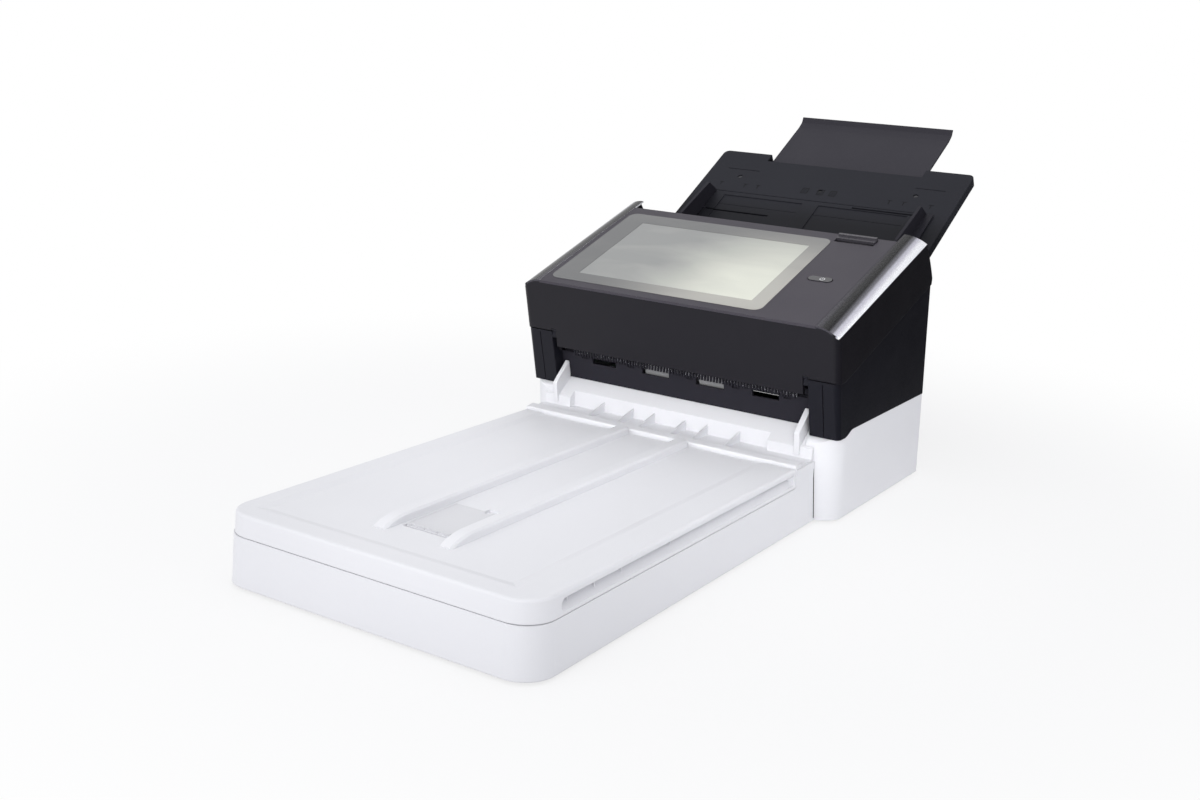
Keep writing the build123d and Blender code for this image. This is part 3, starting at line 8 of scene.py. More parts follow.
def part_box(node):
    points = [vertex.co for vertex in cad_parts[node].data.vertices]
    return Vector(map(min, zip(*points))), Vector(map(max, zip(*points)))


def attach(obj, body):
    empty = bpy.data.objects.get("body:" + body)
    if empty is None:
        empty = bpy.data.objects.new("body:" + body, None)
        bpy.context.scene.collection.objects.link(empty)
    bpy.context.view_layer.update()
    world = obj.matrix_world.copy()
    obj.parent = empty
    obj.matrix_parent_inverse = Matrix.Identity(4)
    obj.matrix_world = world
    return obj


# The dressed model of a sheet-fed scanner with a flatbed in front, in metres.
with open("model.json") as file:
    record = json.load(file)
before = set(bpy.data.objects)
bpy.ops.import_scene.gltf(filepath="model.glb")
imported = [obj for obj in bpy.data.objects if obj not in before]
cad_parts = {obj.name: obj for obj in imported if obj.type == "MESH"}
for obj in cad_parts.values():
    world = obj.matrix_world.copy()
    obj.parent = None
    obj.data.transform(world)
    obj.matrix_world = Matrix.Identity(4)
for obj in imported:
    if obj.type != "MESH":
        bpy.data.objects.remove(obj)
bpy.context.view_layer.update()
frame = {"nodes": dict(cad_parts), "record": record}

# How far the flatbed's front edge stands before the base's front edge on the floor
FLATBED_REACH = 0.415378
BASE_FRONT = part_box("flatbed_housing")[0][1] + FLATBED_REACH

# The photograph's view, measured from the middle of the base's front edge on the floor
CAMERA_PLACE = Vector((0.60804, BASE_FRONT - 1.09053, 0.40921))
CAMERA_AZIMUTH = radians(32.41)
CAMERA_ELEVATION = radians(14.86)
CAMERA_ROLL = radians(2.89)
CAMERA_LENS = 43.18
SENSOR_WIDTH = 36.0

# The two sloping planes that carry the small signs: the cover's top panel and the input tray
PANEL_SLOPE = radians(18.28)
PANEL_FRONT = Vector((0.0, BASE_FRONT - 0.030, 0.1755))
TRAY_SLOPE = radians(30.2)
TRAY_FRONT = Vector((0.0, BASE_FRONT + 0.165, 0.1867))


def sloping_plane(origin, slope):
    """The matrix of a plane that rises to the rear: across, up the slope, out of the face."""
    across = Vector((1, 0, 0))
    along = Vector((0, cos(slope), sin(slope)))
    out = across.cross(along)
    turn = Matrix((across, along, out)).transposed().to_4x4()
    return Matrix.Translation(origin) @ turn


PANEL = sloping_plane(PANEL_FRONT, PANEL_SLOPE)
TRAY = sloping_plane(TRAY_FRONT, TRAY_SLOPE)


# Shader node groups that several finishes share

def new_group(name, inputs, outputs):
    """An empty shader group with named sockets; each is (name, kind, value)."""
    group = bpy.data.node_groups.new(name, "ShaderNodeTree")
    for title, kind, value in inputs:
        socket = group.interface.new_socket(title, in_out="INPUT", socket_type="NodeSocket" + kind)
        if value is not None:
            socket.default_value = value
    for title, kind in outputs:
        group.interface.new_socket(title, in_out="OUTPUT", socket_type="NodeSocket" + kind)
    entry = group.nodes.new("NodeGroupInput")
    leave = group.nodes.new("NodeGroupOutput")
    return group, entry.outputs, leave.inputs


def node(tree, kind, inputs=None, **settings):
    """A new node with its settings and input values; an input may be a socket to link."""
    made = tree.nodes.new("ShaderNode" + kind)
    for key, value in settings.items():
        setattr(made, key, value)
    for key, value in (inputs or {}).items():
        if isinstance(value, bpy.types.NodeSocket):
            tree.links.new(value, made.inputs[key])
        else:
            made.inputs[key].default_value = value
    return made


def moulded_grain_group():
    """Spark-eroded grain: softened edges and fine pits as a normal, and a mask for the gloss."""
    group, given, result = new_group(
        "moulded grain",
        [("Scale", "Float", 900.0), ("Depth", "Float", 0.00003), ("Edge", "Float", 0.0006)],
        [("Normal", "Vector"), ("Mask", "Float")],
    )
    place = node(group, "TexCoord").outputs["Object"]
    pits = node(group, "TexNoise", {
        "Vector": place, "Scale": given["Scale"], "Detail": 3.0, "Roughness": 0.6,
    })
    patches = node(group, "TexNoise", {"Vector": place, "Scale": 14.0, "Detail": 4.0})
    soft = node(group, "Bevel", {"Radius": given["Edge"]}, samples=4)
    bump = node(group, "Bump", {
        "Height": pits.outputs["Fac"], "Distance": given["Depth"], "Strength": 0.8,
        "Normal": soft.outputs["Normal"],
    })
    mask = node(group, "Math", {0: pits.outputs["Fac"], 1: patches.outputs["Fac"]}, operation="MULTIPLY")
    group.links.new(bump.outputs["Normal"], result["Normal"])
    group.links.new(mask.outputs["Value"], result["Mask"])
    return group


def tone_group():
    """A colour that drifts a little over the surface, with a fine speckle."""
    group, given, result = new_group(
        "tone drift",
        [("Color", "Color", (0.5, 0.5, 0.5, 1.0)), ("Drift", "Float", 0.06), ("Scale", "Float", 6.0)],
        [("Color", "Color")],
    )
    place = node(group, "TexCoord").outputs["Object"]
    wide = node(group, "TexNoise", {
        "Vector": place, "Scale": given["Scale"], "Detail": 5.0, "Roughness": 0.55,
    })
    fine = node(group, "TexNoise", {"Vector": place, "Scale": 1400.0, "Detail": 1.0})
    both = node(group, "Mix", {
        "Factor": 0.35, "A": wide.outputs["Fac"], "B": fine.outputs["Fac"],
    }, data_type="FLOAT")
    low = node(group, "Math", {0: 1.0, 1: given["Drift"]}, operation="SUBTRACT")
    high = node(group, "Math", {0: 1.0, 1: given["Drift"]}, operation="ADD")
    gain = node(group, "MapRange", {
        "Value": both.outputs["Result"], "From Min": 0.3, "From Max": 0.7,
        "To Min": low.outputs["Value"], "To Max": high.outputs["Value"],
    })
    scaled = node(group, "VectorMath", {
        0: given["Color"], "Scale": gain.outputs["Result"],
    }, operation="SCALE")
    group.links.new(scaled.outputs["Vector"], result["Color"])
    return group


def painted_reflection_group():
    """A painted reflection: a soft bright area about a point, with drifting cloud, painted where a studio
    light shows in glass.
    """
    group, given, result = new_group(
        "painted reflection cloud",
        [("Centre", "Vector", (0.0, 0.0, 0.0)), ("Stretch", "Vector", (1.0, 1.0, 1.0)),
         ("Reach", "Float", 0.1), ("Cloud", "Float", 0.3), ("Size", "Float", 12.0)],
        [("Glow", "Float")],
    )
    place = node(group, "TexCoord").outputs["Object"]
    away = node(group, "VectorMath", {0: place, 1: given["Centre"]}, operation="SUBTRACT")
    scaled = node(group, "VectorMath", {
        0: away.outputs["Vector"], 1: given["Stretch"],
    }, operation="MULTIPLY")
    far = node(group, "VectorMath", {0: scaled.outputs["Vector"]}, operation="LENGTH")
    slanted = node(group, "Mapping", {
        "Vector": place, "Rotation": (0.0, 0.0, 0.7), "Scale": (0.55, 1.5, 1.0),
    })
    cloud = node(group, "TexNoise", {
        "Vector": slanted.outputs["Vector"], "Scale": given["Size"],
        "Detail": 3.0, "Roughness": 0.45, "Distortion": 0.6,
    })
    centred = node(group, "Math", {0: cloud.outputs["Fac"], 1: 0.5}, operation="SUBTRACT")
    swing = node(group, "Math", {0: centred.outputs["Value"], 1: given["Cloud"]}, operation="MULTIPLY")
    fall = node(group, "MapRange", {
        "Value": far.outputs["Value"], "From Min": 0.0, "From Max": given["Reach"],
        "To Min": 1.0, "To Max": 0.0,
    }, interpolation_type="SMOOTHERSTEP")
    both = node(group, "Math", {
        0: fall.outputs["Result"], 1: swing.outputs["Value"],
    }, operation="ADD", use_clamp=True)
    group.links.new(both.outputs["Value"], result["Glow"])
    return group


GRAIN = moulded_grain_group()
TONE = tone_group()
PAINTED_REFLECTION = painted_reflection_group()


def place_group(tree, group, inputs):
    """One use of a shared group in a material, with this material's own values."""
    made = tree.nodes.new("ShaderNodeGroup")
    made.node_tree = group
    for key, value in inputs.items():
        made.inputs[key].default_value = value
    return made


def new_material(name):
    material = bpy.data.materials.new(name)
    material.use_nodes = True
    tree = material.node_tree
    return material, tree, tree.nodes["Principled BSDF"]


def finish(name, color, roughness, drift=0.05, grain=900.0, depth=0.00003, edge=0.0006, gloss=0.12,
           scale=6.0, **sockets):
    """A moulded, painted, rubber or metal finish from the shared groups and its own shader values."""
    material, tree, shader = new_material(name)
    tone = place_group(tree, TONE, {"Color": (*color, 1.0), "Drift": drift, "Scale": scale})
    pits = place_group(tree, GRAIN, {"Scale": grain, "Depth": depth, "Edge": edge})
    rough = node(tree, "MapRange", {
        "Value": pits.outputs["Mask"], "From Min": 0.1, "From Max": 0.45,
        "To Min": max(0.02, roughness - gloss), "To Max": roughness + gloss,
    })
    tree.links.new(tone.outputs["Color"], shader.inputs["Base Color"])
    tree.links.new(rough.outputs["Result"], shader.inputs["Roughness"])
    tree.links.new(pits.outputs["Normal"], shader.inputs["Normal"])
    for title, value in sockets.items():
        shader.inputs[title.replace("_", " ")].default_value = value
    return material


# The strip's painted reflection tones from its top face to its side: (how far it has turned, grey)
STRIP_REFLECTION_TONES = ((0.22, 0.016), (0.37, 0.010), (0.49, 0.14), (0.59, 0.50))
STRIP_REFLECTION_TINT = (1.02, 1.0, 1.12)


def strip_painted_reflection_finish():
    """Glossy dark flaked paint with a painted reflection: its colour runs to silver where the strip turns
    down to the side, and shifts towards the rear.
    """
    material, tree, shader = new_material("strip graphite gloss with painted reflection")
    place = node(tree, "TexCoord")
    # Painted reflection: the colour follows how far the face turns to the side and how far back it lies
    turned = node(tree, "SeparateXYZ", {"Vector": place.outputs["Normal"]})
    side = node(tree, "Math", {0: turned.outputs["X"]}, operation="ABSOLUTE")
    along = node(tree, "SeparateXYZ", {"Vector": place.outputs["Object"]})
    rise = node(tree, "MapRange", {
        "Value": along.outputs["Y"], "From Min": BASE_FRONT - 0.03, "From Max": BASE_FRONT + 0.14,
        "To Min": -0.03, "To Max": 0.10,
    })
    turn = node(tree, "Math", {0: side.outputs["Value"], 1: rise.outputs["Result"]}, operation="ADD")
    reflection_ramp = node(tree, "ValToRGB", {"Fac": turn.outputs["Value"]})
    stops = reflection_ramp.color_ramp
    stops.interpolation = "EASE"
    stops.elements[0].position = 0.02
    stops.elements[0].color = (0.060, 0.057, 0.068, 1)
    stops.elements[1].position = 0.74
    stops.elements[1].color = (0.86, 0.86, 0.88, 1)
    for position, tone in STRIP_REFLECTION_TONES:
        stops.elements.new(position).color = (*(tone * part for part in STRIP_REFLECTION_TINT), 1)
    flakes = node(tree, "TexNoise", {"Vector": place.outputs["Object"], "Scale": 1500.0, "Detail": 1.0})
    rough = node(tree, "MapRange", {"Value": flakes.outputs["Fac"], "To Min": 0.20, "To Max": 0.34})
    sparkle = node(tree, "MapRange", {
        "Value": flakes.outputs["Fac"], "From Min": 0.3, "From Max": 0.7, "To Min": 0.8, "To Max": 1.2,
    })
    flaked = node(tree, "VectorMath", {
        0: reflection_ramp.outputs["Color"], "Scale": sparkle.outputs["Result"],
    }, operation="SCALE")
    tree.links.new(flaked.outputs["Vector"], shader.inputs["Base Color"])
    tree.links.new(rough.outputs["Result"], shader.inputs["Roughness"])
    shader.inputs["Specular IOR Level"].default_value = 0.12
    shader.inputs["Coat Weight"].default_value = 0.08
    shader.inputs["Coat Roughness"].default_value = 0.12
    return material


def screen_finish(name, far_color, reflection_color, centre, stretch, reach, cloud, roughness):
    """Glass over a pale layer whose colour carries a painted reflection: a soft bright area with drifting
    cloud.
    """
    material, tree, shader = new_material(name)
    glow = place_group(tree, PAINTED_REFLECTION, {
        "Centre": centre, "Stretch": stretch, "Reach": reach, "Cloud": cloud, "Size": 24.0,
    })
    # Painted reflection: the colour runs from the far colour to a painted bright colour about one place
    blend = node(tree, "Mix", {"Factor": glow.outputs["Glow"], "A": (*far_color, 1), "B": (*reflection_color, 1)},
                 data_type="RGBA")
    place = node(tree, "TexCoord").outputs["Object"]
    smear = node(tree, "TexNoise", {"Vector": place, "Scale": 30.0, "Detail": 6.0})
    rough = node(tree, "MapRange", {
        "Value": smear.outputs["Fac"], "To Min": roughness * 0.7, "To Max": roughness * 1.4,
    })
    tree.links.new(blend.outputs["Result"], shader.inputs["Base Color"])
    tree.links.new(rough.outputs["Result"], shader.inputs["Roughness"])
    shader.inputs["Specular IOR Level"].default_value = 0.3
    shader.inputs["Coat Weight"].default_value = 0.15
    shader.inputs["Coat Roughness"].default_value = 0.06
    return material


def tray_finish():
    """Charcoal moulding whose lower field, where paper slides, is smoother, with painted shade making it
    darker than its border.
    """
    material, tree, shader = new_material("tray charcoal moulding with painted shade")
    tone = place_group(tree, TONE, {"Color": (0.026, 0.0265, 0.033, 1.0), "Drift": 0.08})
    pits = place_group(tree, GRAIN, {"Scale": 900.0, "Depth": 0.00004, "Edge": 0.0006})
    along = node(tree, "SeparateXYZ", {"Vector": node(tree, "TexCoord").outputs["Object"]})
    # Painted shade: the colour darkens towards the lower part of the slope; the same ramp makes that part
    # smoother
    painted_shade_and_smoothness = node(tree, "MapRange", {
        "Value": along.outputs["Y"], "From Min": BASE_FRONT + 0.225, "From Max": BASE_FRONT + 0.262,
        "To Min": 0.5, "To Max": 1.0,
    }, interpolation_type="SMOOTHSTEP")
    shade = node(tree, "VectorMath", {
        0: tone.outputs["Color"], "Scale": painted_shade_and_smoothness.outputs["Result"],
    }, operation="SCALE")
    rough = node(tree, "MapRange", {
        "Value": painted_shade_and_smoothness.outputs["Result"], "From Min": 0.5, "From Max": 1.0, "To Min": 0.42, "To Max": 0.54,
    })
    tree.links.new(shade.outputs["Vector"], shader.inputs["Base Color"])
    tree.links.new(rough.outputs["Result"], shader.inputs["Roughness"])
    tree.links.new(pits.outputs["Normal"], shader.inputs["Normal"])
    shader.inputs["Specular IOR Level"].default_value = 0.05
    return material


def glass_finish():
    """Clear float glass with the faintest green and a trace of wiping marks."""
    material, tree, shader = new_material("clear bed glass")
    place = node(tree, "TexCoord").outputs["Object"]
    wipe = node(tree, "TexNoise", {"Vector": place, "Scale": 22.0, "Detail": 5.0})
    rough = node(tree, "MapRange", {"Value": wipe.outputs["Fac"], "To Min": 0.02, "To Max": 0.09})
    tree.links.new(rough.outputs["Result"], shader.inputs["Roughness"])
    shader.inputs["Base Color"].default_value = (0.90, 0.96, 0.94, 1)
    shader.inputs["Transmission Weight"].default_value = 0.92
    shader.inputs["IOR"].default_value = 1.5
    return material


def board_finish():
    """Green solder mask with copper lines running under it."""
    material, tree, shader = new_material("board green mask")
    place = node(tree, "TexCoord").outputs["Object"]
    lines = node(tree, "TexWave", {
        "Vector": place, "Scale": 90.0, "Distortion": 6.0, "Detail": 2.0, "Detail Scale": 2.5,
    })
    tracks = node(tree, "ValToRGB", {"Fac": lines.outputs["Fac"]})
    tracks.color_ramp.elements[0].position = 0.55
    tracks.color_ramp.elements[0].color = (0.012, 0.085, 0.035, 1)
    tracks.color_ramp.elements[1].position = 0.62
    tracks.color_ramp.elements[1].color = (0.04, 0.17, 0.07, 1)
    bump = node(tree, "Bump", {"Height": lines.outputs["Fac"], "Distance": 0.00003})
    tree.links.new(tracks.outputs["Color"], shader.inputs["Base Color"])
    tree.links.new(bump.outputs["Normal"], shader.inputs["Normal"])
    shader.inputs["Roughness"].default_value = 0.35
    return material


def brushed_finish(name, color, axis_scale, roughness=0.28):
    """Metal with fine lines drawn along one direction."""
    material, tree, shader = new_material(name)
    place = node(tree, "TexCoord").outputs["Object"]
    stretched = node(tree, "Mapping", {"Vector": place, "Scale": axis_scale})
    lines = node(tree, "TexNoise", {"Vector": stretched.outputs["Vector"], "Scale": 1.0, "Detail": 3.0})
    bump = node(tree, "Bump", {"Height": lines.outputs["Fac"], "Distance": 0.00002, "Strength": 0.5})
    rough = node(tree, "MapRange", {
        "Value": lines.outputs["Fac"], "To Min": roughness - 0.1, "To Max": roughness + 0.1,
    })
    tone = place_group(tree, TONE, {"Color": (*color, 1.0), "Drift": 0.05, "Scale": 20.0})
    tree.links.new(tone.outputs["Color"], shader.inputs["Base Color"])
    tree.links.new(rough.outputs["Result"], shader.inputs["Roughness"])
    tree.links.new(bump.outputs["Normal"], shader.inputs["Normal"])
    shader.inputs["Metallic"].default_value = 1.0
    return material


# Moulded plastics, light and dark
WHITE = finish("white satin moulding", (0.77, 0.77, 0.795), 0.50, drift=0.015, depth=0.00002, edge=0.0008,
               Specular_IOR_Level=0.28)
FLAP_WHITE = finish("flap satin moulding", (0.66, 0.66, 0.685), 0.40, drift=0.015, depth=0.00002,
                    edge=0.0006)
LIGHT_GREY = finish("light grey moulding", (0.50, 0.51, 0.53), 0.45, drift=0.03)
BLACK = finish("black textured moulding", (0.0110, 0.0102, 0.0140), 0.44, drift=0.08, depth=0.00004,
               edge=0.0008, Specular_IOR_Level=0.20)
BODY_BLACK = finish("body black moulding", (0.0105, 0.0105, 0.0155), 0.46, drift=0.08, depth=0.00004,
                    edge=0.0008, Specular_IOR_Level=0.14)
GUIDE_BLACK = finish("guide black moulding", (0.024, 0.023, 0.030), 0.48, drift=0.1, depth=0.00002,
                     Specular_IOR_Level=0.06)
TRAY_BLACK = tray_finish()
EXTENSION_GREY = finish("extension charcoal moulding", (0.044, 0.042, 0.051), 0.48, drift=0.08,
                        depth=0.00004, Specular_IOR_Level=0.05)
IDLER_GREY = finish("idler grey moulding", (0.12, 0.12, 0.125), 0.4, edge=0.0004)
GEAR_WHITE = finish("acetal gear", (0.78, 0.75, 0.66), 0.38, drift=0.03, edge=0.0002)
LEVER_BLACK = finish("lever satin graphite", (0.062, 0.058, 0.068), 0.30, edge=0.0007,
                     Specular_IOR_Level=0.3)
BUTTON_BLACK = finish("button piano black", (0.024, 0.023, 0.028), 0.20, drift=0.05, depth=0.000004,
                      edge=0.0005, gloss=0.05, Coat_Weight=0.3)
SENSOR_BLACK = finish("sensor black glass", (0.012, 0.012, 0.014), 0.15, drift=0.1, depth=0.000005)
LIGHT_GUIDE = finish("clear light guide", (0.66, 0.72, 0.72), 0.14, drift=0.04, depth=0.00001,
                     Coat_Weight=0.4)

# Paints and prints
PANEL_GREY = finish("panel graphite paint", (0.064, 0.059, 0.071), 0.42, drift=0.04, grain=2400.0,
                    depth=0.00001, Specular_IOR_Level=0.08)
STRIP = strip_painted_reflection_finish()
PRINT_DARK = finish("dark grey print", (0.004, 0.004, 0.005), 0.6, edge=0.00001, Specular_IOR_Level=0.1)
PRINT_WHITE = finish("white print", (0.80, 0.80, 0.82), 0.4, edge=0.00001)

# Rubber, hair, foam and film
TYRE_GREY = finish("ground grey rubber", (0.27, 0.27, 0.275), 0.6, drift=0.08, grain=1500.0,
                   depth=0.00006, edge=0.0004)
FOOT_BLACK = finish("foot rubber", (0.03, 0.03, 0.031), 0.7, drift=0.15, grain=1200.0, depth=0.00005)
BELT_BLACK = finish("belt rubber", (0.02, 0.02, 0.02), 0.65, grain=1500.0, depth=0.00004, edge=0.0002)
# The hairs' light grey is partly their own tone and partly a painted highlight that lifts them out of the
# shade under the cover
PAINTED_SHEEN_BRISTLE = finish("carbon brush hair with painted sheen", (0.46, 0.46, 0.50), 0.36, drift=0.35, edge=0.00002, scale=400.0)
FOAM_WHITE = finish("white backing sheet", (0.82, 0.82, 0.82), 0.62, drift=0.02, grain=500.0, depth=0.00005)
FILM_WHITE = finish("calibration white film", (0.86, 0.86, 0.86), 0.5, drift=0.01, edge=0.0001)

# Metals
SCREW_BLACK = finish("blackened screw steel", (0.05, 0.05, 0.055), 0.38, drift=0.1, edge=0.0001,
                     Metallic=0.6)
STEEL = brushed_finish("ground steel", (0.58, 0.58, 0.60), (30.0, 1500.0, 1500.0))
ZINC = brushed_finish("zinc plated sheet", (0.50, 0.51, 0.52), (700.0, 60.0, 60.0), roughness=0.42)
SOCKET_METAL = brushed_finish("tinned socket shell", (0.62, 0.62, 0.63), (900.0, 40.0, 900.0),
                              roughness=0.32)
BRASS = brushed_finish("turned brass", (0.72, 0.50, 0.20), (1500.0, 60.0, 60.0))

# Glass and the circuit board; both screen glasses carry a painted reflection about one place on the panel
REFLECTION_PLACE = tuple(PANEL @ Vector((0.060, 0.035, 0.0)))
BEZEL = screen_finish("grey screen glass with painted reflection", (0.125, 0.127, 0.129), (0.415, 0.405, 0.37),
                      REFLECTION_PLACE, (1.0, 0.9, 0.9), 0.17, 0.24, 0.16)
DISPLAY = screen_finish("pale display glass with painted reflection", (0.265, 0.27, 0.265), (0.67, 0.68, 0.595),
                        REFLECTION_PLACE, (1.14, 0.79, 0.79), 0.165, 0.42, 0.14)
BED_GLASS = glass_finish()
BOARD = board_finish()

FINISHES = {
    "white_plastic": WHITE,
    "light_grey_plastic": LIGHT_GREY,
    "platen_glass": BED_GLASS,
    "white_film": FILM_WHITE,
    "steel": STEEL,
    "belt_rubber": BELT_BLACK,
    "zinc_metal": ZINC,
    "black_plastic": BLACK,
    "guide_plastic": GUIDE_BLACK,
    "sensor_black": SENSOR_BLACK,
    "board_green": BOARD,
    "socket_metal": SOCKET_METAL,
    "foot_rubber": FOOT_BLACK,
    "light_bar": LIGHT_GUIDE,
    "gear_plastic": GEAR_WHITE,
    "foam_white": FOAM_WHITE,
    "tyre_rubber": TYRE_GREY,
    "brass": BRASS,
    "panel_plastic": PANEL_GREY,
    "strip_gloss": STRIP,
    "bezel_glass": BEZEL,
    "display_glass": DISPLAY,
    "idler_plastic": IDLER_GREY,
    "button_gloss": BUTTON_BLACK,
    "lever_plastic": LEVER_BLACK,
    "tray_plastic": TRAY_BLACK,
    "extension_plastic": EXTENSION_GREY,
}

# Nodes that look a little different from the rest of their material
OWN_FINISHES = {"lower_body": BODY_BLACK, "paper_stopper": FLAP_WHITE, "housing_screws": SCREW_BLACK}


def dress_nodes():
    """Gives every CAD node the finish of its material slot, or its own where it has one."""
    for row in frame["record"]["subparts"]:
        piece = frame["nodes"][row["node"]]
        for slot in piece.material_slots:
            slot.material = OWN_FINISHES.get(row["node"], FINISHES[row["material_slot"]])


dress_nodes()


# Small printed and turned details, each a closed mesh

def keep_piece(name, mesh, body):
    """Puts a finished mesh in the scene as a piece that moves with its body."""
    piece = bpy.data.objects.new(name, mesh)
    bpy.context.scene.collection.objects.link(piece)
    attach(piece, body)


def built_mesh(name, build, place=Matrix()):
    """The closed mesh that a builder makes, put in place."""
    mesh = bpy.data.meshes.new(name)
    shape = bmesh.new()
    build(shape)
    bmesh.ops.recalc_face_normals(shape, faces=shape.faces)
    shape.transform(place)
    shape.to_mesh(mesh)
    shape.free()
    return mesh


def mesh_piece(name, build, material, body, place=Matrix()):
    """A new piece from a mesh builder, with its place, finish and body."""
    mesh = built_mesh(name, build, place)
    mesh.materials.append(material)
    keep_piece(name, mesh, body)


def add_prism(shape, points, low, high):
    """A flat closed prism from an outline of (x, y) points."""
    bottom = [shape.verts.new((x, y, low)) for x, y in points]
    top = [shape.verts.new((x, y, high)) for x, y in points]
    shape.faces.new(bottom[::-1])
    shape.faces.new(top)
    for index in range(len(points)):
        after = (index + 1) % len(points)
        shape.faces.new((bottom[index], bottom[after], top[after], top[index]))


def add_bar(shape, x0, x1, y0, y1, low, high):
    add_prism(shape, [(x0, y0), (x1, y0), (x1, y1), (x0, y1)], low, high)


def add_arc(shape, centre, radius, width, start, end, low, high, steps=24):
    """A flat ring segment between two angles in degrees."""
    outer, inner = [], []
    for step in range(steps + 1):
        angle = radians(start + (end - start) * step / steps)
        away = Vector((cos(angle), sin(angle)))
        outer.append(tuple(Vector(centre) + away * (radius + width / 2)))
        inner.append(tuple(Vector(centre) + away * (radius - width / 2)))
    for index in range(steps):
        quad = [outer[index], outer[index + 1], inner[index + 1], inner[index]]
        add_prism(shape, quad, low, high)
    bmesh.ops.remove_doubles(shape, verts=shape.verts, dist=1e-7)


def add_frame(shape, x0, x1, y0, y1, line, low, high):
    """The outline of a rectangle as four thin bars."""
    for bar in ((x0, x1, y0, y0 + line), (x0, x1, y1 - line, y1),
                (x0, x0 + line, y0 + line, y1 - line), (x1 - line, x1, y0 + line, y1 - line)):
        add_bar(shape, *bar, low, high)


# The sign on the power button, in the panel's plane
SIGN_CENTRE = (0.107, 0.080)
SIGN_RADIUS = 0.0021
SIGN_LINE = 0.0005
SIGN_TOP = 0.0828
SIGN_LOW, SIGN_HIGH = 0.00052, 0.00060


def build_power_sign(shape):
    """The usual open ring and stroke of a power button."""
    x, y = SIGN_CENTRE
    add_arc(shape, SIGN_CENTRE, SIGN_RADIUS, SIGN_LINE, 120, 420, SIGN_LOW, SIGN_HIGH)
    add_bar(shape, x - SIGN_LINE / 2, x + SIGN_LINE / 2, y, SIGN_TOP, SIGN_LOW, SIGN_HIGH)


# Printed marks in the tray's plane: ticks for page widths and three small page signs
PRINT_LOW, PRINT_HIGH = 0.00005, 0.00012
TICK_PLACES = (0.073, 0.088, 0.116, -0.073, -0.088, -0.116)
TICK_STEM = (0.0004, 0.116, 0.121)
TICK_FOOT = (0.0024, 0.1213, 0.1219)
PAGE_PLACES = (-0.020, -0.0025, 0.011)
PAGE_HALF = 0.0036
PAGE_ENDS = (0.1175, 0.1265)
PAGE_LINE = 0.0007
ROW_HALF = 0.0020
ROW_START, ROW_STEP, ROW_LINE = 0.1195, 0.0020, 0.0005


def build_tray_marks(shape):
    """Page-width ticks and three small page signs printed on the tray."""
    for x in TICK_PLACES:
        for half, start, end in (TICK_STEM, TICK_FOOT):
            add_bar(shape, x - half, x + half, start, end, PRINT_LOW, PRINT_HIGH)
    for x in PAGE_PLACES:
        add_frame(shape, x - PAGE_HALF, x + PAGE_HALF, *PAGE_ENDS, PAGE_LINE, PRINT_LOW, PRINT_HIGH)
        for row in range(3):
            y = ROW_START + row * ROW_STEP
            add_bar(shape, x - ROW_HALF, x + ROW_HALF, y, y + ROW_LINE, PRINT_LOW, PRINT_HIGH)


# Screw heads in the tray's plane, sunk in its pockets
TRAY_SCREWS = ((-0.101, 0.134), (0.095, 0.134), (-0.004, 0.124))
HEAD_RADIUS = 0.0020
HEAD_LOW, HEAD_HIGH = -0.00149, -0.0008
HEAD_SIDES = 24
CROSS_BARS = ((0.0013, 0.0003), (0.0003, 0.0013))
CROSS_LOW, CROSS_HIGH = -0.00085, -0.00072


def build_tray_screws(shape):
    """Round screw heads, each with a cross on top."""
    turns = [2 * pi * step / HEAD_SIDES for step in range(HEAD_SIDES)]
    for x, y in TRAY_SCREWS:
        ring = [(x + HEAD_RADIUS * cos(turn), y + HEAD_RADIUS * sin(turn)) for turn in turns]
        add_prism(shape, ring, HEAD_LOW, HEAD_HIGH)
        for wide, deep in CROSS_BARS:
            add_bar(shape, x - wide, x + wide, y - deep, y + deep, CROSS_LOW, CROSS_HIGH)


# A dark strip as painted shadow in both corners where the flatbed's leaning sides meet the base's leaning
# front
FLATBED_HALF = 0.1404
FLATBED_SLOPE = 0.04891
BASE_START = -0.0035
BASE_SLOPE = 0.085
SHADOW_STRIP_ENDS = (0.0045, 0.0555)
SHADOW_STRIP_SIZE = 0.00045


def build_joint_shadow_strip(shape):
    """Two thin dark leaning posts, one at each side of the flatbed, standing in for the shadow in the
    joint.
    """
    for side in (-1, 1):
        rings = []
        for height in SHADOW_STRIP_ENDS:
            x = side * (FLATBED_HALF - height * FLATBED_SLOPE)
            y = BASE_FRONT + BASE_START - height * BASE_SLOPE
            corners = ((-side, 0.3), (side, 0.3), (side, -1.0), (-side, -1.0))
            rings.append([shape.verts.new((x + a * SHADOW_STRIP_SIZE, y + b * SHADOW_STRIP_SIZE, height))
                          for a, b in corners])
        low, high = rings
        shape.faces.new(low)
        shape.faces.new(high[::-1])
        for index in range(4):
            after = (index + 1) % 4
            shape.faces.new((low[after], low[index], high[index], high[after]))


# What repeats: the hairs of the exit brush and the teeth of the carriage's belt

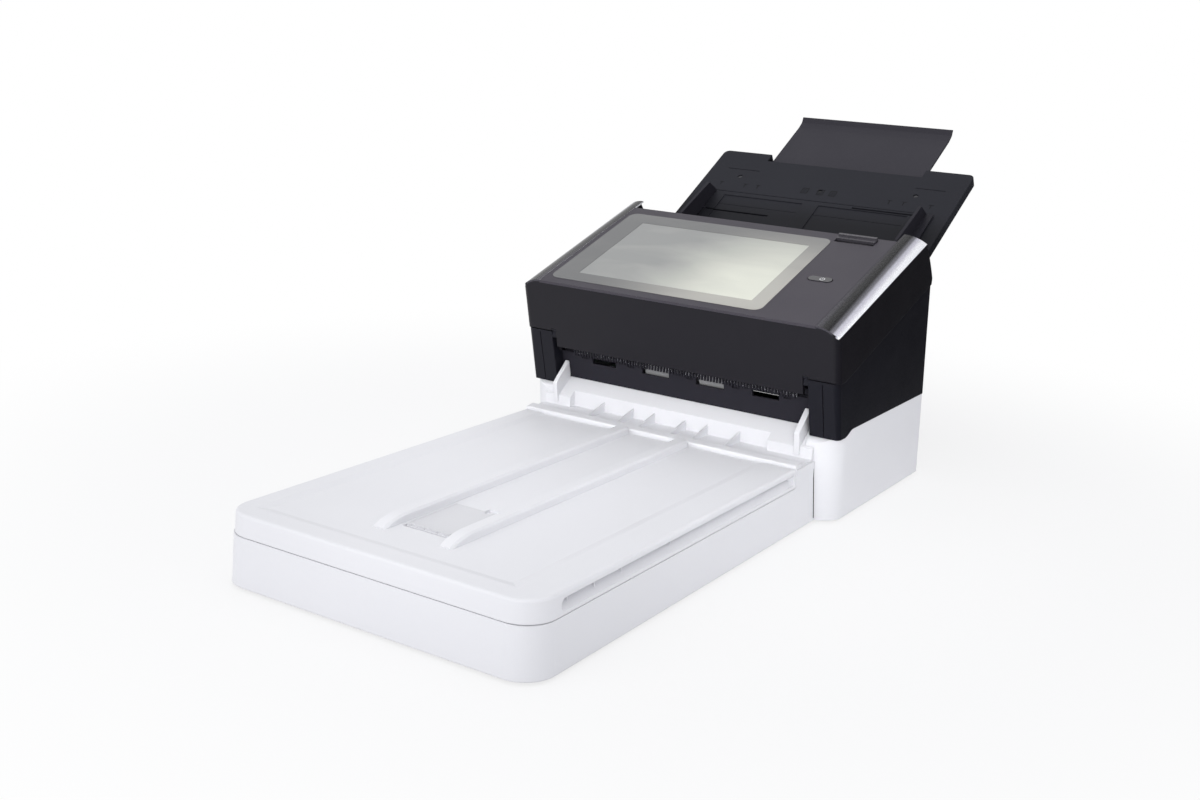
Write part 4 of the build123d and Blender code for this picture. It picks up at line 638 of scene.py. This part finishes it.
def repeat_group(name):
    """A geometry tree that sets copies of one shape on a row of points, turned and scaled at random."""
    group = bpy.data.node_groups.new(name, "GeometryNodeTree")
    for title, kind in (("Count", "Int"), ("Start", "Vector"), ("Step", "Vector"), ("Tilt", "Float"),
                        ("Low Scale", "Float"), ("Seed", "Int"), ("Shape", "Object"),
                        ("Material", "Material")):
        group.interface.new_socket(title, in_out="INPUT", socket_type="NodeSocket" + kind)
    group.interface.new_socket("Geometry", in_out="OUTPUT", socket_type="NodeSocketGeometry")

    def add(kind, **settings):
        made = group.nodes.new(kind)
        for key, value in settings.items():
            setattr(made, key, value)
        return made

    given = add("NodeGroupInput").outputs
    row = add("GeometryNodeMeshLine")
    shape = add("GeometryNodeObjectInfo")
    turn = add("FunctionNodeRandomValue", data_type="FLOAT_VECTOR")
    size = add("FunctionNodeRandomValue", data_type="FLOAT")
    lean = add("ShaderNodeCombineXYZ")
    back = add("ShaderNodeVectorMath", operation="SCALE")
    long = add("ShaderNodeCombineXYZ")
    copies = add("GeometryNodeInstanceOnPoints")
    real = add("GeometryNodeRealizeInstances")
    paint = add("GeometryNodeSetMaterial")
    leave = add("NodeGroupOutput")
    link = group.links.new
    link(given["Count"], row.inputs["Count"])
    link(given["Start"], row.inputs["Start Location"])
    link(given["Step"], row.inputs["Offset"])
    link(given["Shape"], shape.inputs["Object"])
    for index in range(3):
        link(given["Tilt"], lean.inputs[index])
    back.inputs["Scale"].default_value = -1.0
    link(lean.outputs["Vector"], back.inputs[0])
    link(back.outputs["Vector"], turn.inputs["Min"])
    link(lean.outputs["Vector"], turn.inputs["Max"])
    link(given["Seed"], turn.inputs["Seed"])
    # A random float's least and greatest are its third and fourth sockets, and its value the second output
    link(given["Low Scale"], size.inputs[2])
    size.inputs[3].default_value = 1.0
    link(given["Seed"], size.inputs["Seed"])
    long.inputs[0].default_value = 1.0
    long.inputs[1].default_value = 1.0
    link(size.outputs[1], long.inputs[2])
    link(row.outputs["Mesh"], copies.inputs["Points"])
    link(shape.outputs["Geometry"], copies.inputs["Instance"])
    link(turn.outputs["Value"], copies.inputs["Rotation"])
    link(long.outputs["Vector"], copies.inputs["Scale"])
    link(copies.outputs["Instances"], real.inputs["Geometry"])
    link(real.outputs["Geometry"], paint.inputs["Geometry"])
    link(given["Material"], paint.inputs["Material"])
    link(paint.outputs["Geometry"], leave.inputs["Geometry"])
    return group


REPEAT = repeat_group("row of copies")


def repeated_piece(name, build, material, body, rows, tilt=0.0, low_scale=1.0, seed=1):
    """A piece made of copies of one small shape on rows of (count, start, step)."""
    seedling = bpy.data.objects.new(name + "_shape", built_mesh(name + "_shape", build))
    bpy.context.scene.collection.objects.link(seedling)
    sockets = {item.name: item.identifier for item in REPEAT.interface.items_tree if item.in_out == "INPUT"}
    joined = bmesh.new()
    for number, (count, start, step) in enumerate(rows):
        holder = bpy.data.objects.new(name + "_holder", bpy.data.meshes.new(name + "_holder"))
        bpy.context.scene.collection.objects.link(holder)
        repeat = holder.modifiers.new("repeat", "NODES")
        repeat.node_group = REPEAT
        for title, value in (("Count", count), ("Start", start), ("Step", step), ("Tilt", tilt),
                             ("Low Scale", low_scale), ("Seed", seed + number), ("Shape", seedling),
                             ("Material", material)):
            repeat[sockets[title]] = value
        graph = bpy.context.evaluated_depsgraph_get()
        made = bpy.data.meshes.new_from_object(holder.evaluated_get(graph))
        joined.from_mesh(made)
        bpy.data.objects.remove(holder)
    bpy.data.objects.remove(seedling)
    result = bpy.data.meshes.new(name)
    joined.to_mesh(result)
    joined.free()
    result.materials.append(material)
    keep_piece(name, result, body)


HAIR_RADIUS = 0.00013
HAIR_LENGTH = 0.0052
HAIR_COUNT = 382
HAIR_START = (-0.1143, BASE_FRONT - 0.0016, 0.1112)
HAIR_STEP = (0.0006, 0.0, 0.0)
HAIR_TILT = 0.015
SHORTEST_HAIR = 0.75

TOOTH_HALF = (0.0028, 0.0005, 0.00035)
TOOTH_COUNT = 183
TOOTH_STEP = (0.0, 0.002, 0.0)
BELT_X = 0.040
BELT_START_Y = BASE_FRONT - 0.396
BELT_RUNS = (0.01425, 0.02575)


def build_hair(shape):
    """One thin four-sided hair that hangs from its root."""
    ring = [(HAIR_RADIUS * cos(step * pi / 2), HAIR_RADIUS * sin(step * pi / 2)) for step in range(4)]
    add_prism(shape, ring, -HAIR_LENGTH, 0.0)


def build_belt_tooth(shape):
    """One tooth of the carriage's belt."""
    x, y, z = TOOTH_HALF
    add_bar(shape, -x, x, -y, y, -z, z)


# Painted shadow: dark posts in the flatbed's joint with the base
mesh_piece("joint_seal", build_joint_shadow_strip, FOOT_BLACK, "chassis")
mesh_piece("power_sign", build_power_sign, PRINT_WHITE, "button", PANEL)
mesh_piece("tray_marks", build_tray_marks, PRINT_DARK, "tray", TRAY)
mesh_piece("tray_screws", build_tray_screws, SCREW_BLACK, "tray", TRAY)
repeated_piece("exit_brush", build_hair, PAINTED_SHEEN_BRISTLE, "cover",
               [(HAIR_COUNT, HAIR_START, HAIR_STEP)], tilt=HAIR_TILT, low_scale=SHORTEST_HAIR, seed=7)
repeated_piece("belt_teeth", build_belt_tooth, BELT_BLACK, "chassis",
               [(TOOTH_COUNT, (BELT_X, BELT_START_Y, height), TOOTH_STEP) for height in BELT_RUNS])


# Camera, floor and light

def photo_camera():
    """A camera at the photograph's place, direction and field of view."""
    forward = Vector((
        -sin(CAMERA_AZIMUTH) * cos(CAMERA_ELEVATION),
        cos(CAMERA_AZIMUTH) * cos(CAMERA_ELEVATION),
        -sin(CAMERA_ELEVATION),
    ))
    level_right = Vector((cos(CAMERA_AZIMUTH), sin(CAMERA_AZIMUTH), 0))
    level_up = level_right.cross(forward)
    right = level_right * cos(CAMERA_ROLL) + level_up * sin(CAMERA_ROLL)
    up = right.cross(forward)
    data = bpy.data.cameras.new("photo_camera")
    data.lens = CAMERA_LENS
    data.sensor_width = SENSOR_WIDTH
    data.clip_start = 0.05
    camera = bpy.data.objects.new("photo_camera", data)
    turn = Matrix((right, up, -forward)).transposed().to_4x4()
    camera.matrix_world = Matrix.Translation(CAMERA_PLACE) @ turn
    bpy.context.scene.collection.objects.link(camera)
    bpy.context.scene.camera = camera


def seen_directly(tree):
    """One for rays from the camera, off gloss and through glass; zero for light that falls on things."""
    rays = node(tree, "LightPath").outputs
    gloss = node(tree, "Math", {
        0: rays["Is Camera Ray"], 1: rays["Is Glossy Ray"],
    }, operation="MAXIMUM")
    glass = node(tree, "Math", {
        0: gloss.outputs["Value"], 1: rays["Is Transmission Ray"],
    }, operation="MAXIMUM")
    return glass.outputs["Value"]


FLOOR_SIZE = 40.0
FLOOR_FADE = (0.35, 0.85)


def floor():
    """A pale floor that keeps the soft shadow near the object and runs to plain white around it."""
    bpy.ops.mesh.primitive_plane_add(size=FLOOR_SIZE, location=(0, 0, 0))
    plane = bpy.context.active_object
    plane.name = "studio_floor"
    material, tree, shader = new_material("studio floor white")
    shader.inputs["Base Color"].default_value = (0.86, 0.86, 0.87, 1)
    shader.inputs["Roughness"].default_value = 0.9
    shader.inputs["Specular IOR Level"].default_value = 0.1
    glow = node(tree, "Emission", {"Color": (1, 1, 1, 1), "Strength": 1.0})
    away = node(tree, "VectorMath", {0: node(tree, "TexCoord").outputs["Object"]}, operation="LENGTH")
    spread = node(tree, "MapRange", {
        "Value": away.outputs["Value"], "From Min": FLOOR_FADE[0], "From Max": FLOOR_FADE[1],
        "To Min": 0.72, "To Max": 1.0,
    }, interpolation_type="SMOOTHSTEP")
    share = node(tree, "Math", {
        0: seen_directly(tree), 1: spread.outputs["Result"],
    }, operation="MULTIPLY")
    blend = node(tree, "MixShader", {
        0: share.outputs["Value"], 1: shader.outputs["BSDF"], 2: glow.outputs["Emission"],
    })
    leave = tree.nodes["Material Output"]
    tree.links.new(blend.outputs["Shader"], leave.inputs["Surface"])
    plane.data.materials.append(material)


WORLD_COLOR = (0.96, 0.97, 1.0, 1)
WORLD_LEVEL = 0.79


def room():
    """White surroundings for the camera, gloss and glass, and a softer level as light."""
    world = bpy.data.worlds.new("studio_room")
    world.use_nodes = True
    tree = world.node_tree
    light = tree.nodes["Background"]
    light.inputs["Color"].default_value = WORLD_COLOR
    light.inputs["Strength"].default_value = WORLD_LEVEL
    seen = node(tree, "Background", {"Color": (1, 1, 1, 1), "Strength": 1.0})
    blend = node(tree, "MixShader", {0: seen_directly(tree), 1: light.outputs[0], 2: seen.outputs[0]})
    tree.links.new(blend.outputs["Shader"], tree.nodes["World Output"].inputs["Surface"])
    bpy.context.scene.world = world


CARD_X = 0.20
CARD_ENDS = (-0.1, 1.0)
CARD_HEIGHTS = (0.001, 0.6)


def dark_card():
    """A black card on the right that only shows in reflections, as a photographer sets one up."""
    (front, rear), (low, high) = CARD_ENDS, CARD_HEIGHTS
    corners = [(CARD_X, y, z) for y, z in ((front, low), (rear, low), (rear, high), (front, high))]
    mesh = bpy.data.meshes.new("right_card")
    mesh.from_pydata(corners, [], [(0, 1, 2, 3)])
    material, tree, shader = new_material("black card")
    shader.inputs["Base Color"].default_value = (0.004, 0.004, 0.005, 1)
    shader.inputs["Roughness"].default_value = 0.9
    mesh.materials.append(material)
    card = bpy.data.objects.new("right_card", mesh)
    bpy.context.scene.collection.objects.link(card)
    for ray in ("camera", "diffuse", "transmission", "shadow", "volume_scatter"):
        setattr(card, "visible_" + ray, False)


def soft_light(name, place, aim, size, power, spread):
    """A softbox that points at a place on the object; a small spread keeps its light together."""
    data = bpy.data.lights.new(name, "AREA")
    data.shape = "RECTANGLE"
    data.size, data.size_y = size
    data.energy = power
    data.spread = spread
    lamp = bpy.data.objects.new(name, data)
    lamp.location = place
    lamp.rotation_euler = (Vector(aim) - Vector(place)).to_track_quat("-Z", "Y").to_euler()
    bpy.context.scene.collection.objects.link(lamp)


# Each softbox: name, place, what it points at, size, power, spread
SOFTBOXES = (
    ("key_softbox", (-0.6, -2.2, 0.9), (0, -0.1, 0.1), (1.8, 1.2), 13, pi),
    ("top_softbox", (0.1, 0.2, 2.0), (0, 0, 0.1), (2.0, 2.0), 5, pi),
    ("right_softbox", (2.0, -0.6, 0.7), (0, 0, 0.12), (1.2, 1.2), 2, pi),
    ("exit_strip_light", (0.42, BASE_FRONT - 0.75, 0.42), (0, BASE_FRONT + 0.01, 0.07), (0.5, 0.2),
     0.21, radians(34)),
)

photo_camera()
floor()
room()
for softbox in SOFTBOXES:
    soft_light(*softbox)
dark_card()

scene = bpy.context.scene
scene.view_settings.view_transform = "Standard"
